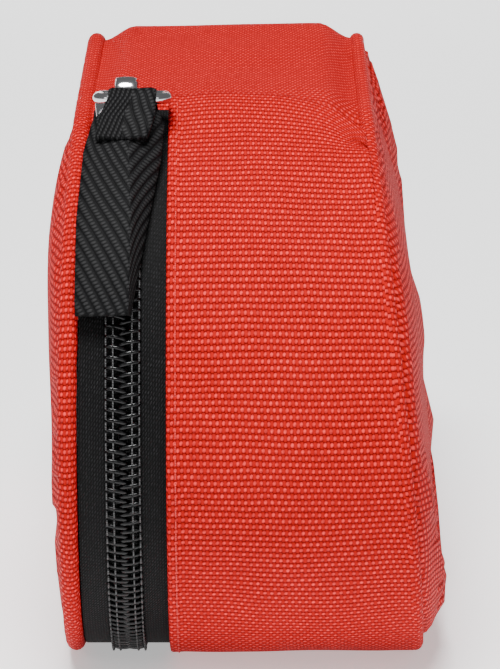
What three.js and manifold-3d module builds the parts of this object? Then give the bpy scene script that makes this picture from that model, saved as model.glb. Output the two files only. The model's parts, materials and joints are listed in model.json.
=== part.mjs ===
// A soft first aid kit: a zipped pouch with padded front and back panels, round ends, a coil zip
// that runs from the top of one end, under the base and up the other end, and its dressings inside.
//
// Millimetres, +Z up. X runs from the lid (-X) to the back (+X), Y along the length of the kit.
// The origin is on the base, under the middle of the kit.

import * as THREE from 'three';
import Module from 'manifold-3d';
import { mergeVertices } from 'three/addons/utils/BufferGeometryUtils.js';

const wasm = await Module();
wasm.setup();

// ---- Driving dimensions -------------------------------------------------------------------------

const LENGTH = 178;
const HEIGHT = 110;
const END_RADIUS = 56;
const CORNER_RADIUS = 38;

// Where the gussets meet the front and back panels: X at the base, X at the top, and how late in
// the height the panel starts to lean in.
const LID_SEAM = { base: -32.2, top: -29.6, power: 5 };
const BACK_SEAM = { base: 31, top: 20, power: 1.3 };

const LID_BULGE = 4.8;
const BACK_BULGE = 7.8;
const LID_PIPING_RADIUS = 1.8;
const BACK_PIPING_RADIUS = 1.5;
const GUSSET_THICKNESS = 2;
const LINING_THICKNESS = 0.8;
const GAP = 0.3;

// The zip's centre line, its coils and its tapes, measured from that line.
const ZIP_X = -23.5;
const COIL_NEAR = 1.5;
const COIL_FAR = 3.5;
const COIL_THICKNESS = 2.4;
const TAPE_DEPTH = 1.4;
const TAPE_THICKNESS = 0.8;
const GUSSET_EDGE_X = -15.5;

// Directions that the surface faces, in degrees from +Y towards +Z. The two cross seams join the
// hinge gusset over the top to the long gusset round the ends and base.
const NEAR_SEAM_DEG = 100;
const FAR_SEAM_DEG = 430;
const SEAM_GAP_DEG = 0.3;
const SLIDER_DEG = 107;
const COIL_START_DEG = 103.6;
const COIL_END_DEG = 427;
const SLIDER_MOUTH_DEG = 114.5;
const ARC_STEP_DEG = 7.5;

// The slider, in its own frame: x across the zip, y back up the zip, z out of the kit.
const SLIDER_LENGTH = 14;
const SLIDER_WIDTH = 12;
const SLIDER_PLATE = 1.4;
const SLIDER_TOP_CLEARANCE = 0.5;
const SLIDER_INNER_DEPTH = 3.4;
const CROWN_WIDTH = 3.8;
const CROWN_HOLE_RADIUS = 1.7;
const CROWN_THICKNESS = 1.2;
const CROWN_Y = 2.4;
const CROWN_Z = 4.2;
const RING_Z = 3.4;

// The pull ring is raised from the slider's plate, and the webbing tab hangs from its front bar.
const RING_WIDTH = 14.5;
const RING_REACH = 9;
const RING_WIRE = 2;
const RING_THICKNESS = 1.6;
const RING_RAISE_DEG = 25;
const TAB_WIDTH = 12;
const TAB_EYE_WIDTH = 9.6;
const TAB_THICKNESS = 2.4;
const TAB_REST_RADIUS = END_RADIUS + 1.2;
const TAB_TANGENT_DEG = 137;
const TAB_TIP_DEG = 156;

// ---- Finishes -----------------------------------------------------------------------------------

const RED_WEAVE = { color: 0xe3200f, roughness: 0.7, metalness: 0 };
const BLACK_WEAVE = { color: 0x141414, roughness: 0.75, metalness: 0 };
const BLACK_NYLON = { color: 0x1b1b1b, roughness: 0.35, metalness: 0 };
const CHROME = { color: 0xd8dadc, roughness: 0.15, metalness: 1 };
const STEEL = { color: 0xb9bcbf, roughness: 0.3, metalness: 1 };
const GREY_LINING = { color: 0x8d9094, roughness: 0.8, metalness: 0 };
const WHITE_COTTON = { color: 0xf2efe8, roughness: 0.9, metalness: 0 };
const SKIN_CREPE = { color: 0xe2c6a4, roughness: 0.9, metalness: 0 };
const PAPER_WRAP = { color: 0xe9eef2, roughness: 0.5, metalness: 0 };
const FOIL_WRAP = { color: 0xc9ccd0, roughness: 0.25, metalness: 0.6 };
const BLUE_NITRILE = { color: 0x3f7fc4, roughness: 0.5, metalness: 0 };
const WHITE_PLASTIC = { color: 0xf4f4f2, roughness: 0.35, metalness: 0 };

const kit = new THREE.Group();

function addPart(name, geometry, finish, parent = kit) {
  const mesh = new THREE.Mesh(geometry, new THREE.MeshStandardMaterial(finish));
  mesh.name = name;
  parent.add(mesh);
  return mesh;
}

// ---- The outline of the kit, seen along X ---------------------------------------------------------

const radians = THREE.MathUtils.degToRad;

// A small corner arc sits inside each end arc, touching it and the base.
const END_Y = LENGTH / 2 - END_RADIUS;
const END_Z = HEIGHT - END_RADIUS;
const BLEND_ANGLE = Math.asin((END_Z - CORNER_RADIUS) / (END_RADIUS - CORNER_RADIUS));
const CORNER_Y = END_Y + (END_RADIUS - CORNER_RADIUS) * Math.cos(BLEND_ANGLE);
const BLEND_DEG = THREE.MathUtils.radToDeg(BLEND_ANGLE);

const OUTLINE_ARCS = [
  { y: CORNER_Y, z: CORNER_RADIUS, radius: CORNER_RADIUS, from: -90, to: -BLEND_DEG },
  { y: END_Y, z: END_Z, radius: END_RADIUS, from: -BLEND_DEG, to: 90 },
  { y: -END_Y, z: END_Z, radius: END_RADIUS, from: 90, to: 180 + BLEND_DEG },
  { y: -CORNER_Y, z: CORNER_RADIUS, radius: CORNER_RADIUS, from: 180 + BLEND_DEG, to: 270 },
];

/** Points round the outline between two facing directions, moved in by inset. */
function outlineSpan(fromDeg, toDeg, inset) {
  const points = [];
  for (const turn of [0, 360]) {
    for (const arc of OUTLINE_ARCS) {
      const start = Math.max(fromDeg, arc.from + turn);
      const end = Math.min(toDeg, arc.to + turn);
      if (end <= start) {
        continue;
      }
      const steps = Math.ceil((end - start) / ARC_STEP_DEG);
      const joinsLast = points.length > 0 && arc.from !== -90 && arc.from !== 90;
      for (let step = joinsLast ? 1 : 0; step <= steps; step += 1) {
        const angle = radians(start + ((end - start) * step) / steps);
        const normal = { y: Math.cos(angle), z: Math.sin(angle) };
        const radius = arc.radius - inset;
        points.push({ y: arc.y + radius * normal.y, z: arc.z + radius * normal.z, normal });
      }
    }
  }
  return points;
}

function seamX(seam, z) {
  const height = THREE.MathUtils.clamp(z / HEIGHT, 0, 1);
  return seam.base + (seam.top - seam.base) * height ** seam.power;
}

const lidSeamX = (z) => seamX(LID_SEAM, z);
const backSeamX = (z) => seamX(BACK_SEAM, z);

// ---- Geometry helpers -----------------------------------------------------------------------------

/** Turns an extrusion of a (y, z) outline, made along +Z from 0, so that it runs along +X. */
function alongX(geometry) {
  return geometry.applyMatrix4(new THREE.Matrix4().set(0, 0, 1, 0, 1, 0, 0, 0, 0, 1, 0, 0, 0, 0, 0, 1));
}

function extrudeAlongX(shape, lowX, highX) {
  const geometry = new THREE.ExtrudeGeometry(shape, {
    depth: highX - lowX,
    bevelEnabled: false,
    curveSegments: 8,
  });
  return alongX(geometry).translate(lowX, 0, 0);
}

/** A strip that follows the outline between two directions, from lowX(z) to highX(z). */
function strip(fromDeg, toDeg, inset, thickness, lowX, highX) {
  const outer = outlineSpan(fromDeg, toDeg, inset);
  const inner = outlineSpan(fromDeg, toDeg, inset + thickness).reverse();
  const shape = new THREE.Shape([...outer, ...inner].map((point) => new THREE.Vector2(point.y, point.z)));
  const geometry = extrudeAlongX(shape, 0, 1);
  const position = geometry.attributes.position;
  for (let index = 0; index < position.count; index += 1) {
    const z = position.getZ(index);
    position.setX(index, THREE.MathUtils.lerp(lowX(z), highX(z), position.getX(index)));
  }
  return geometry;
}

/** A round cord all the way round the outline, lying against the seam on the given side. */
function piping(seam, side, radius) {
  const path = outlineSpan(-90, 270, radius);
  const sections = 10;
  const geometry = new THREE.TorusGeometry(1, 0.1, sections, path.length);
  const position = geometry.attributes.position;
  for (let index = 0; index < position.count; index += 1) {
    const { y, z, normal } = path[(index % (path.length + 1)) % path.length];
    const turn = (2 * Math.PI * (Math.floor(index / (path.length + 1)) % sections)) / sections;
    const out = radius * Math.cos(turn);
    const x = seam(z) + side * radius + radius * Math.sin(turn);
    position.setXYZ(index, x, y + out * normal.y, z + out * normal.z);
  }
  return geometry;
}

/** A disc whose rim follows the outline. Its profile gives radius (0 to 1) and X off the seam. */
function outlineDisc(seam, inset, profile) {
  const rim = outlineSpan(-90, 270, inset);
  const geometry = new THREE.LatheGeometry(profile, rim.length);
  const position = geometry.attributes.position;
  const middleZ = HEIGHT / 2;
  for (let index = 0; index < position.count; index += 1) {
    const { y, z } = rim[Math.floor(index / profile.length) % rim.length];
    const { x: radius, y: offset } = profile[index % profile.length];
    const pointZ = middleZ + radius * (z - middleZ);
    position.setXYZ(index, seam(pointZ) + offset, radius * y, pointZ);
  }
  return geometry;
}

/** The profile of a padded panel: flat inside, a soft edge, and a dome on the outside. */
function panelProfile(side, inside, edge, bulge) {
  const profile = [new THREE.Vector2(0, side * inside), new THREE.Vector2(1, side * inside)];
  const rings = [1, 0.97, 0.92, 0.84, 0.72, 0.55, 0.3, 0];
  for (const radius of rings) {
    const rise = Math.sqrt(1 - radius ** 4);
    profile.push(new THREE.Vector2(radius, side * (edge + (bulge - edge) * rise)));
  }
  return side < 0 ? profile.reverse() : profile;
}

function sheetProfile(lowOffset, highOffset) {
  return [
    new THREE.Vector2(0, lowOffset),
    new THREE.Vector2(1, lowOffset),
    new THREE.Vector2(1, highOffset),
    new THREE.Vector2(0, highOffset),
  ];
}

function roundedRectangle(lowU, lowV, highU, highV, radius) {
  const shape = new THREE.Shape();
  shape.moveTo(lowU + radius, lowV);
  shape.lineTo(highU - radius, lowV);
  shape.absarc(highU - radius, lowV + radius, radius, -Math.PI / 2, 0, false);
  shape.lineTo(highU, highV - radius);
  shape.absarc(highU - radius, highV - radius, radius, 0, Math.PI / 2, false);
  shape.lineTo(lowU + radius, highV);
  shape.absarc(lowU + radius, highV - radius, radius, Math.PI / 2, Math.PI, false);
  shape.lineTo(lowU, lowV + radius);
  shape.absarc(lowU + radius, lowV + radius, radius, Math.PI, 1.5 * Math.PI, false);
  return shape;
}

/** A flat pack with rounded corners: low and high corners as [x, y, z]. */
function pack(low, high, radius) {
  return extrudeAlongX(roundedRectangle(low[1], low[2], high[1], high[2], radius), low[0], high[0]);
}

function box(low, high) {
  const size = high.map((value, axis) => value - low[axis]);
  const centre = high.map((value, axis) => (value + low[axis]) / 2);
  return new THREE.BoxGeometry(...size).translate(...centre);
}

function toSolid(geometry) {
  const bare = geometry.clone();
  bare.deleteAttribute('normal');
  bare.deleteAttribute('uv');
  const merged = mergeVertices(bare, 1e-5);
  return new wasm.Manifold(new wasm.Mesh({
    numProp: 3,
    vertProperties: new Float32Array(merged.attributes.position.array),
    triVerts: new Uint32Array(merged.index.array),
  }));
}

function toGeometry(solid) {
  const mesh = solid.getMesh();
  const geometry = new THREE.BufferGeometry();
  geometry.setAttribute('position', new THREE.BufferAttribute(mesh.vertProperties, 3));
  geometry.setIndex(new THREE.BufferAttribute(mesh.triVerts, 1));
  return geometry;
}

function join(...geometries) {
  return toGeometry(geometries.map(toSolid).reduce((whole, piece) => whole.add(piece)));
}

function cut(geometry, ...tools) {
  return toGeometry(tools.map(toSolid).reduce((rest, tool) => rest.subtract(tool), toSolid(geometry)));
}

function circle(centreU, centreV, radius) {
  const shape = new THREE.Shape();
  shape.absarc(centreU, centreV, radius, 0, 2 * Math.PI, false);
  return shape;
}

// ---- The bag: gussets, panels and piping ------------------------------------------------------------

const HINGE_GUSSET_INSET = 1;
const PANEL_RIM_GAP = 0.5;

function addGussets() {
  const lidSide = (z) => lidSeamX(z) + GAP;
  const backSide = (z) => backSeamX(z) - GAP;
  const overTheTop = strip(
    FAR_SEAM_DEG - 360 + SEAM_GAP_DEG,
    NEAR_SEAM_DEG - SEAM_GAP_DEG,
    HINGE_GUSSET_INSET,
    GUSSET_THICKNESS - GAP,
    lidSide,
    backSide,
  );
  addPart('hinge_gusset', overTheTop, RED_WEAVE);
  const roundTheEnds = strip(
    NEAR_SEAM_DEG,
    FAR_SEAM_DEG,
    0,
    GUSSET_THICKNESS,
    () => GUSSET_EDGE_X,
    backSide,
  );
  addPart('long_gusset', roundTheEnds, RED_WEAVE);
}

function addPanels() {
  addPart('front_piping', piping(lidSeamX, -1, LID_PIPING_RADIUS), RED_WEAVE);
  addPart('back_piping', piping(backSeamX, 1, BACK_PIPING_RADIUS), RED_WEAVE);
  const lidInset = 2 * LID_PIPING_RADIUS + PANEL_RIM_GAP;
  const lidProfile = panelProfile(-1, 0.6, LID_PIPING_RADIUS, LID_BULGE);
  addPart('front_panel', outlineDisc(lidSeamX, lidInset, lidProfile), RED_WEAVE);
  const backInset = 2 * BACK_PIPING_RADIUS + PANEL_RIM_GAP;
  const backProfile = panelProfile(1, GAP, BACK_PIPING_RADIUS, BACK_BULGE);
  addPart('back_panel', outlineDisc(backSeamX, backInset, backProfile), RED_WEAVE);
}

function addLinings() {
  const inset = GUSSET_THICKNESS + GAP;
  const discInset = inset + LINING_THICKNESS + GAP;
  const wrap = strip(
    NEAR_SEAM_DEG,
    FAR_SEAM_DEG,
    inset,
    LINING_THICKNESS,
    () => GUSSET_EDGE_X,
    (z) => backSeamX(z) - GAP,
  );
  addPart('gusset_lining', wrap, GREY_LINING);
  const backSheet = sheetProfile(-GAP - LINING_THICKNESS, -GAP);
  addPart('back_lining', outlineDisc(backSeamX, discInset, backSheet), GREY_LINING);
  const lidSheet = sheetProfile(-GAP, LINING_THICKNESS - GAP);
  addPart('lid_lining', outlineDisc(lidSeamX, discInset + 1, lidSheet), GREY_LINING);
}

// ---- The zip ------------------------------------------------------------------------------------------

function tape(name, fromDeg, toDeg, lowX, highX) {
  addPart(name, strip(fromDeg, toDeg, TAPE_DEPTH, TAPE_THICKNESS, lowX, highX), BLACK_WEAVE);
}

function coil(name, fromDeg, toDeg, side) {
  const edges = [ZIP_X + side * COIL_NEAR, ZIP_X + side * COIL_FAR].sort((a, b) => a - b);
  const geometry = strip(fromDeg, toDeg, 0, COIL_THICKNESS, () => edges[0], () => edges[1]);
  addPart(name, geometry, BLACK_NYLON);
}

/** The lid's tape and coil stop below the slider, and their short first stretch stays in it. */
function addZip() {
  const tapeStart = NEAR_SEAM_DEG + SEAM_GAP_DEG;
  const tapeEnd = FAR_SEAM_DEG - 2 * SEAM_GAP_DEG;
  const lidEdge = (z) => lidSeamX(z) + GAP;
  const lidCoilEdge = () => ZIP_X - COIL_FAR - GAP;
  const baseCoilEdge = () => ZIP_X + COIL_FAR + GAP;
  const gussetEdge = () => GUSSET_EDGE_X - GAP;
  tape('base_zip_tape', tapeStart, tapeEnd, baseCoilEdge, gussetEdge);
  tape('lid_zip_tape_start', tapeStart, SLIDER_MOUTH_DEG, lidEdge, lidCoilEdge);
  tape('lid_zip_tape', SLIDER_MOUTH_DEG + SEAM_GAP_DEG, tapeEnd, lidEdge, lidCoilEdge);
  coil('base_zip_coil', COIL_START_DEG, COIL_END_DEG, 1);
  coil('lid_zip_coil_start', COIL_START_DEG, SLIDER_MOUTH_DEG, -1);
  coil('lid_zip_coil', SLIDER_MOUTH_DEG + SEAM_GAP_DEG, COIL_END_DEG, -1);
}

/** A group on the zip's centre line with x across the zip, y back up it and z out of the kit. */
function sliderFrame() {
  const angle = radians(SLIDER_DEG);
  const frame = new THREE.Group();
  const y = -END_Y + END_RADIUS * Math.cos(angle);
  const z = END_Z + END_RADIUS * Math.sin(angle);
  frame.position.set(ZIP_X, y, z);
  frame.rotation.x = angle - Math.PI / 2;
  kit.add(frame);
  return frame;
}

function sliderBodyGeometry() {
  const half = SLIDER_WIDTH / 2;
  const end = SLIDER_LENGTH / 2;
  const top = SLIDER_TOP_CLEARANCE;
  const flangeX = COIL_FAR + 0.7;
  const flangeZ = -TAPE_DEPTH + 0.5;
  const plate = (low, high) => new THREE.ExtrudeGeometry(
    roundedRectangle(-half, -end, half, end, 3),
    { depth: high - low, bevelEnabled: false, curveSegments: 4 },
  ).translate(0, 0, low);
  const outerPlate = plate(top, top + SLIDER_PLATE);
  const innerPlate = plate(-SLIDER_INNER_DEPTH - SLIDER_PLATE, -SLIDER_INNER_DEPTH);
  const flangeEnd = end - 3;
  const leftFlange = box([-half, -flangeEnd, flangeZ], [-flangeX, flangeEnd, top + GAP]);
  const rightFlange = box([flangeX, -flangeEnd, flangeZ], [half, flangeEnd, top + GAP]);
  const post = box([-1.2, end - 2.5, -SLIDER_INNER_DEPTH - GAP], [1.2, end - 0.5, top + GAP]);
  return join(outerPlate, innerPlate, leftFlange, rightFlange, post);
}

/** An arch over the plate, which the pull ring's rear bar passes through. */
function crownGeometry() {
  const outer = CROWN_HOLE_RADIUS + CROWN_THICKNESS;
  const foot = SLIDER_TOP_CLEARANCE + SLIDER_PLATE + GAP;
  const arch = new THREE.Shape();
  arch.moveTo(CROWN_Y + outer, foot);
  arch.absarc(CROWN_Y, CROWN_Z, outer, 0, Math.PI, false);
  arch.lineTo(CROWN_Y - outer, foot);
  arch.lineTo(CROWN_Y - CROWN_HOLE_RADIUS, foot);
  arch.absarc(CROWN_Y, CROWN_Z, CROWN_HOLE_RADIUS, Math.PI, 0, true);
  arch.lineTo(CROWN_Y + CROWN_HOLE_RADIUS, foot);
  return extrudeAlongX(arch, -CROWN_WIDTH / 2, CROWN_WIDTH / 2);
}

/** A flat ring that lies from its rear bar, at the group's origin, towards -Y. */
function ringGeometry() {
  const half = RING_WIDTH / 2;
  const wire = RING_WIRE / 2;
  const shape = roundedRectangle(-half, -RING_REACH - wire, half, wire, 2.5);
  const hole = roundedRectangle(-half + RING_WIRE, -RING_REACH + wire, half - RING_WIRE, -wire, 0.6);
  shape.holes.push(hole);
  return new THREE.ExtrudeGeometry(shape, {
    depth: RING_THICKNESS,
    bevelEnabled: false,
    curveSegments: 4,
  }).translate(0, 0, -RING_THICKNESS / 2);
}

/** The rear and front bars of the ring, as points of the kit's own (y, z) plane. */
function ringBars(frame) {
  const pivot = frame.localToWorld(new THREE.Vector3(0, CROWN_Y, RING_Z));
  const direction = radians(SLIDER_DEG + 90 - RING_RAISE_DEG);
  return {
    rear: { y: pivot.y, z: pivot.z },
    front: { y: pivot.y + RING_REACH * Math.cos(direction), z: pivot.z + RING_REACH * Math.sin(direction) },
  };
}

/** Webbing folded over the front bar, straight down to the kit's end and then lying on it. */
function tabGeometry(bar) {
  const eyeRadius = RING_WIRE / 2 + TAB_THICKNESS / 2 + 0.2;
  const outerRadius = TAB_REST_RADIUS + TAB_THICKNESS;
  const onEnd = (radius, degrees) => new THREE.Vector2(
    -END_Y + radius * Math.cos(radians(degrees)),
    END_Z + radius * Math.sin(radians(degrees)),
  );
  const innerTangent = onEnd(TAB_REST_RADIUS, TAB_TANGENT_DEG);
  const fall = innerTangent.clone().sub(new THREE.Vector2(bar.y, bar.z)).normalize();
  const across = new THREE.Vector2(fall.y, -fall.x).multiplyScalar(TAB_THICKNESS / 2);
  const shape = new THREE.Shape();
  shape.moveTo(bar.y + across.x, bar.z + across.y);
  shape.absarc(-END_Y, END_Z, outerRadius, radians(TAB_TANGENT_DEG), radians(TAB_TIP_DEG), false);
  shape.absarc(-END_Y, END_Z, TAB_REST_RADIUS, radians(TAB_TIP_DEG), radians(TAB_TANGENT_DEG), true);
  shape.lineTo(bar.y - across.x, bar.z - across.y);
  const low = ZIP_X - TAB_WIDTH / 2;
  const high = ZIP_X + TAB_WIDTH / 2;
  const eye = extrudeAlongX(circle(bar.y, bar.z, eyeRadius), low, high);
  const hole = extrudeAlongX(circle(bar.y, bar.z, RING_WIRE / 2 + GAP), low - 1, high + 1);
  const eyeEdge = TAB_EYE_WIDTH / 2;
  const shoulder = circle(bar.y, bar.z, eyeRadius + 2);
  const leftShoulder = extrudeAlongX(shoulder, low - 1, ZIP_X - eyeEdge);
  const rightShoulder = extrudeAlongX(shoulder, ZIP_X + eyeEdge, high + 1);
  return cut(join(extrudeAlongX(shape, low, high), eye), hole, leftShoulder, rightShoulder);
}

function addSlider() {
  const frame = sliderFrame();
  frame.updateWorldMatrix(true, false);
  addPart('slider_body', sliderBodyGeometry(), CHROME, frame);
  addPart('slider_crown', crownGeometry(), CHROME, frame);
  const ring = addPart('pull_ring', ringGeometry(), CHROME, frame);
  ring.position.set(0, CROWN_Y, RING_Z);
  ring.rotation.x = -radians(RING_RAISE_DEG);
  addPart('pull_tab', tabGeometry(ringBars(frame).front), BLACK_WEAVE);
}

// ---- Inside the base: pocket, elastic loops and what they hold ------------------------------------------

const POCKET_X = 12.9;
const ROLLS = [
  { name: 'crepe_bandage', finish: SKIN_CREPE, y: -24, radius: 16, height: 75 },
  { name: 'gauze_bandage_1', finish: WHITE_COTTON, y: 8, radius: 13, height: 60 },
  { name: 'gauze_bandage_2', finish: WHITE_COTTON, y: 37, radius: 13, height: 60 },
];
const ROLL_BASE_Z = 8;
const LOOP_HEIGHT = 22;
const LOOP_BASE_Z = 30;

function rollGeometry(radius, height) {
  const core = radius * 0.18;
  const edge = 1;
  const profile = [
    new THREE.Vector2(core, 0),
    new THREE.Vector2(radius - edge, 0),
    new THREE.Vector2(radius, edge),
    new THREE.Vector2(radius, height - edge),
    new THREE.Vector2(radius - edge, height),
    new THREE.Vector2(core, height),
    new THREE.Vector2(core, 0),
  ];
  return new THREE.LatheGeometry(profile, 24).rotateX(Math.PI / 2);
}

/** An elastic loop in plan: two legs sewn to the pocket and a half round over the roll. */
function loopGeometry(radius, centreX) {
  const inner = radius + 0.4;
  const outer = inner + LINING_THICKNESS;
  const legX = POCKET_X - GAP;
  const shape = new THREE.Shape();
  shape.moveTo(legX, outer);
  shape.absarc(centreX, 0, outer, Math.PI / 2, 1.5 * Math.PI, false);
  shape.lineTo(legX, -outer);
  shape.lineTo(legX, -inner);
  shape.absarc(centreX, 0, inner, 1.5 * Math.PI, Math.PI / 2, true);
  shape.lineTo(legX, inner);
  return new THREE.ExtrudeGeometry(shape, { depth: LOOP_HEIGHT, bevelEnabled: false, curveSegments: 14 });
}

function addRolls() {
  for (const { name, finish, y, radius, height } of ROLLS) {
    const centreX = POCKET_X - radius - 0.9;
    const roll = addPart(name, rollGeometry(radius, height), finish);
    roll.position.set(centreX, y, ROLL_BASE_Z);
    const loop = addPart(`${name}_loop`, loopGeometry(radius, centreX), BLACK_WEAVE);
    loop.position.set(0, y, LOOP_BASE_Z);
  }
}

/** A reel of adhesive tape on a plastic spool, its axis along X. */
function addTapeReel() {
  const width = 24;
  const centre = { x: -12, y: -62, z: 52 };
  const ring = (inner, outer) => {
    const shape = circle(0, 0, outer);
    shape.holes.push(circle(0, 0, inner));
    return extrudeAlongX(shape, 0, width);
  };
  const spool = addPart('tape_spool', ring(11.5, 13), WHITE_PLASTIC);
  const reel = addPart('adhesive_tape', ring(13 + GAP, 19.5), WHITE_COTTON);
  for (const part of [spool, reel]) {
    part.position.set(centre.x, centre.y, centre.z);
  }
}

function addFlatPacks() {
  addPart('back_pocket', pack([POCKET_X, -60, 5], [POCKET_X + LINING_THICKNESS, 60, 60], 26), GREY_LINING);
  addPart('triangular_bandage_pack', pack([14.3, -50, 9], [24, -1, 58], 3), PAPER_WRAP);
  addPart('foil_blanket_pack', pack([14.3, 1, 9], [24, 50, 58], 3), FOIL_WRAP);
  addPart('glove_pack', pack([13, -40, 64], [18.5, 40, 98], 3), BLUE_NITRILE);
  addPart('wound_dressing_pack', pack([-13, 60, 33], [11, 79, 75], 3), PAPER_WRAP);
}

/** Spring tweezers standing on end: two tapering arms, joined at the top. */
function addTweezers() {
  const top = 84;
  const tip = 12;
  const arm = 1.1;
  const spread = 2.6;
  const y = 54.5;
  const shape = new THREE.Shape();
  shape.moveTo(y - 0.3 - arm, tip);
  shape.lineTo(y - 0.3, tip);
  shape.lineTo(y - spread + arm, top - 22);
  shape.lineTo(y, top - 6);
  shape.lineTo(y + spread - arm, top - 22);
  shape.lineTo(y + 0.3, tip);
  shape.lineTo(y + 0.3 + arm, tip);
  shape.lineTo(y + spread, top - 22);
  shape.lineTo(y + arm, top);
  shape.lineTo(y - arm, top);
  shape.lineTo(y - spread, top - 22);
  addPart('tweezers', extrudeAlongX(shape, -5, 3), STEEL);
}

// ---- Inside the lid: pocket, scissors and what they hold ---------------------------------------------------

const LID_POCKET = { low: [-30.7, -54, 11], high: [-24.2, -4, 54] };

function addLidPocket() {
  const { low, high } = LID_POCKET;
  const wall = LINING_THICKNESS;
  const inside = box([low[0] - 1, low[1] + wall, low[2] + wall], [high[0] - wall, high[1] - wall, high[2] + 1]);
  addPart('lid_pocket', cut(box(low, high), inside), BLACK_WEAVE);
  const binding = box([high[0] - wall, low[1], high[2] + GAP], [high[0] + wall, high[1], high[2] + 3]);
  addPart('lid_pocket_binding', binding, BLACK_WEAVE);
  addPart('wipe_sachets', pack([-30.4, -51, 13.5], [-28.1, -7, 48], 1), FOIL_WRAP);
  addPart('plaster_wallet', pack([-27.7, -51, 13.5], [-25.4, -7, 52], 1), PAPER_WRAP);
}

const SCISSORS = { y: -2, z: 70, x: -30.2, thickness: 1.5, length: 44, screwRadius: 1.2 };
const FINGER_RING = { y: 32, z: 9.6, wall: 2.6, radiusY: 6.8, radiusZ: 5.6 };

/** One half of the scissors about its screw: blade towards -Y, finger ring towards +Y. */
function scissorHalf(side, lowX) {
  const outline = [
    [-SCISSORS.length, 0],
    [-6, side * -3.6],
    [2, side * -3.2],
    [22, side * 3.4],
    [26, side * 6.6],
    [20, side * 6.8],
    [-2, side * 3.2],
    [-8, side * 0.8],
  ];
  const blade = new THREE.Shape(outline.map(([y, z]) => new THREE.Vector2(y, z)));
  const { wall, radiusY, radiusZ } = FINGER_RING;
  const ellipse = (growth) => {
    const shape = new THREE.Shape();
    const centreZ = side * FINGER_RING.z;
    shape.absellipse(FINGER_RING.y, centreZ, radiusY + growth, radiusZ + growth, 0, 2 * Math.PI, false);
    return shape;
  };
  const ring = ellipse(wall);
  ring.holes.push(ellipse(0));
  const highX = lowX + SCISSORS.thickness;
  const screwHole = extrudeAlongX(circle(0, 0, SCISSORS.screwRadius + GAP), lowX - 1, highX + 1);
  return cut(join(extrudeAlongX(blade, lowX, highX), extrudeAlongX(ring, lowX, highX)), screwHole);
}

/** The elastic keeper passes through the fixed half's finger ring and is sewn to the lid. */
function keeperShape() {
  const y = SCISSORS.y + FINGER_RING.y;
  const z = SCISSORS.z + FINGER_RING.z - 3.6;
  return roundedRectangle(y - 3, z - 0.6, y + 3, z + 0.6, 0.5);
}

function addScissors() {
  const fixedX = SCISSORS.x;
  const movingX = fixedX + SCISSORS.thickness + GAP;
  const headX = movingX + SCISSORS.thickness + GAP;
  const screw = new THREE.LatheGeometry([
    new THREE.Vector2(0, fixedX),
    new THREE.Vector2(SCISSORS.screwRadius, fixedX),
    new THREE.Vector2(SCISSORS.screwRadius, headX),
    new THREE.Vector2(2.6, headX),
    new THREE.Vector2(2.2, headX + 0.9),
    new THREE.Vector2(0, headX + 0.9),
  ], 16).rotateZ(-Math.PI / 2);
  const parts = [
    addPart('scissor_half_fixed', scissorHalf(1, fixedX), STEEL),
    addPart('scissor_half_moving', scissorHalf(-1, movingX), STEEL),
    addPart('scissor_screw', screw, STEEL),
  ];
  for (const part of parts) {
    part.position.set(0, SCISSORS.y, SCISSORS.z);
  }
  const keeper = extrudeAlongX(keeperShape(), fixedX - 0.2, fixedX + 4.4);
  addPart('scissor_keeper', keeper, BLACK_WEAVE);
}

addGussets();
addPanels();
addLinings();
addZip();
addSlider();
addRolls();
addTapeReel();
addFlatPacks();
addTweezers();
addLidPocket();
addScissors();

export default kit;
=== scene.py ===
"""Looks of the soft first aid kit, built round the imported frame. Metres, +Z up, lid at -X."""
import json
import math

import bmesh
import bpy
import numpy as np
from mathutils import Matrix, Vector, noise


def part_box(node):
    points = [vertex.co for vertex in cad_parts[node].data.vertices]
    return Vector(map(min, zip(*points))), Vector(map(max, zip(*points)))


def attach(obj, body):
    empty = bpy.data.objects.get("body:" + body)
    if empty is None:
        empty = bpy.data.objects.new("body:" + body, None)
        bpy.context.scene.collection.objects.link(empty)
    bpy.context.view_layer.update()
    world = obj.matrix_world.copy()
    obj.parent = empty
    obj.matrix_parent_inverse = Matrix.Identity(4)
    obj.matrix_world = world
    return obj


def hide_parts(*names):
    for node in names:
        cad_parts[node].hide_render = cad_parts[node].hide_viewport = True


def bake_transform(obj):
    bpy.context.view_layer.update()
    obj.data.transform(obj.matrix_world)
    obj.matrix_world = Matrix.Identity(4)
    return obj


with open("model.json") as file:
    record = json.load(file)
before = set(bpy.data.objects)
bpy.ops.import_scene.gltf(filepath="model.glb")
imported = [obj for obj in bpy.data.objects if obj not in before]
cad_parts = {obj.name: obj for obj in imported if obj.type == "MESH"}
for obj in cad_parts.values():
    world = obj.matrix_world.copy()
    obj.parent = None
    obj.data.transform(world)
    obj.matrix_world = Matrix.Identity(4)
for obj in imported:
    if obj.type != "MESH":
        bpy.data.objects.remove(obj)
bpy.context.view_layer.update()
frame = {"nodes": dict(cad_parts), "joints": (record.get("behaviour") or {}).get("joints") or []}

MM = 0.001

# ---- Sizes, read from the frame ----

PIPING_LOW, PIPING_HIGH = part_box("front_piping")
BACK_LOW, BACK_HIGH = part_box("back_piping")
GUSSET_LOW, GUSSET_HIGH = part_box("long_gusset")
SLIDER_LOW, SLIDER_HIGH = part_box("slider_body")

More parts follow.
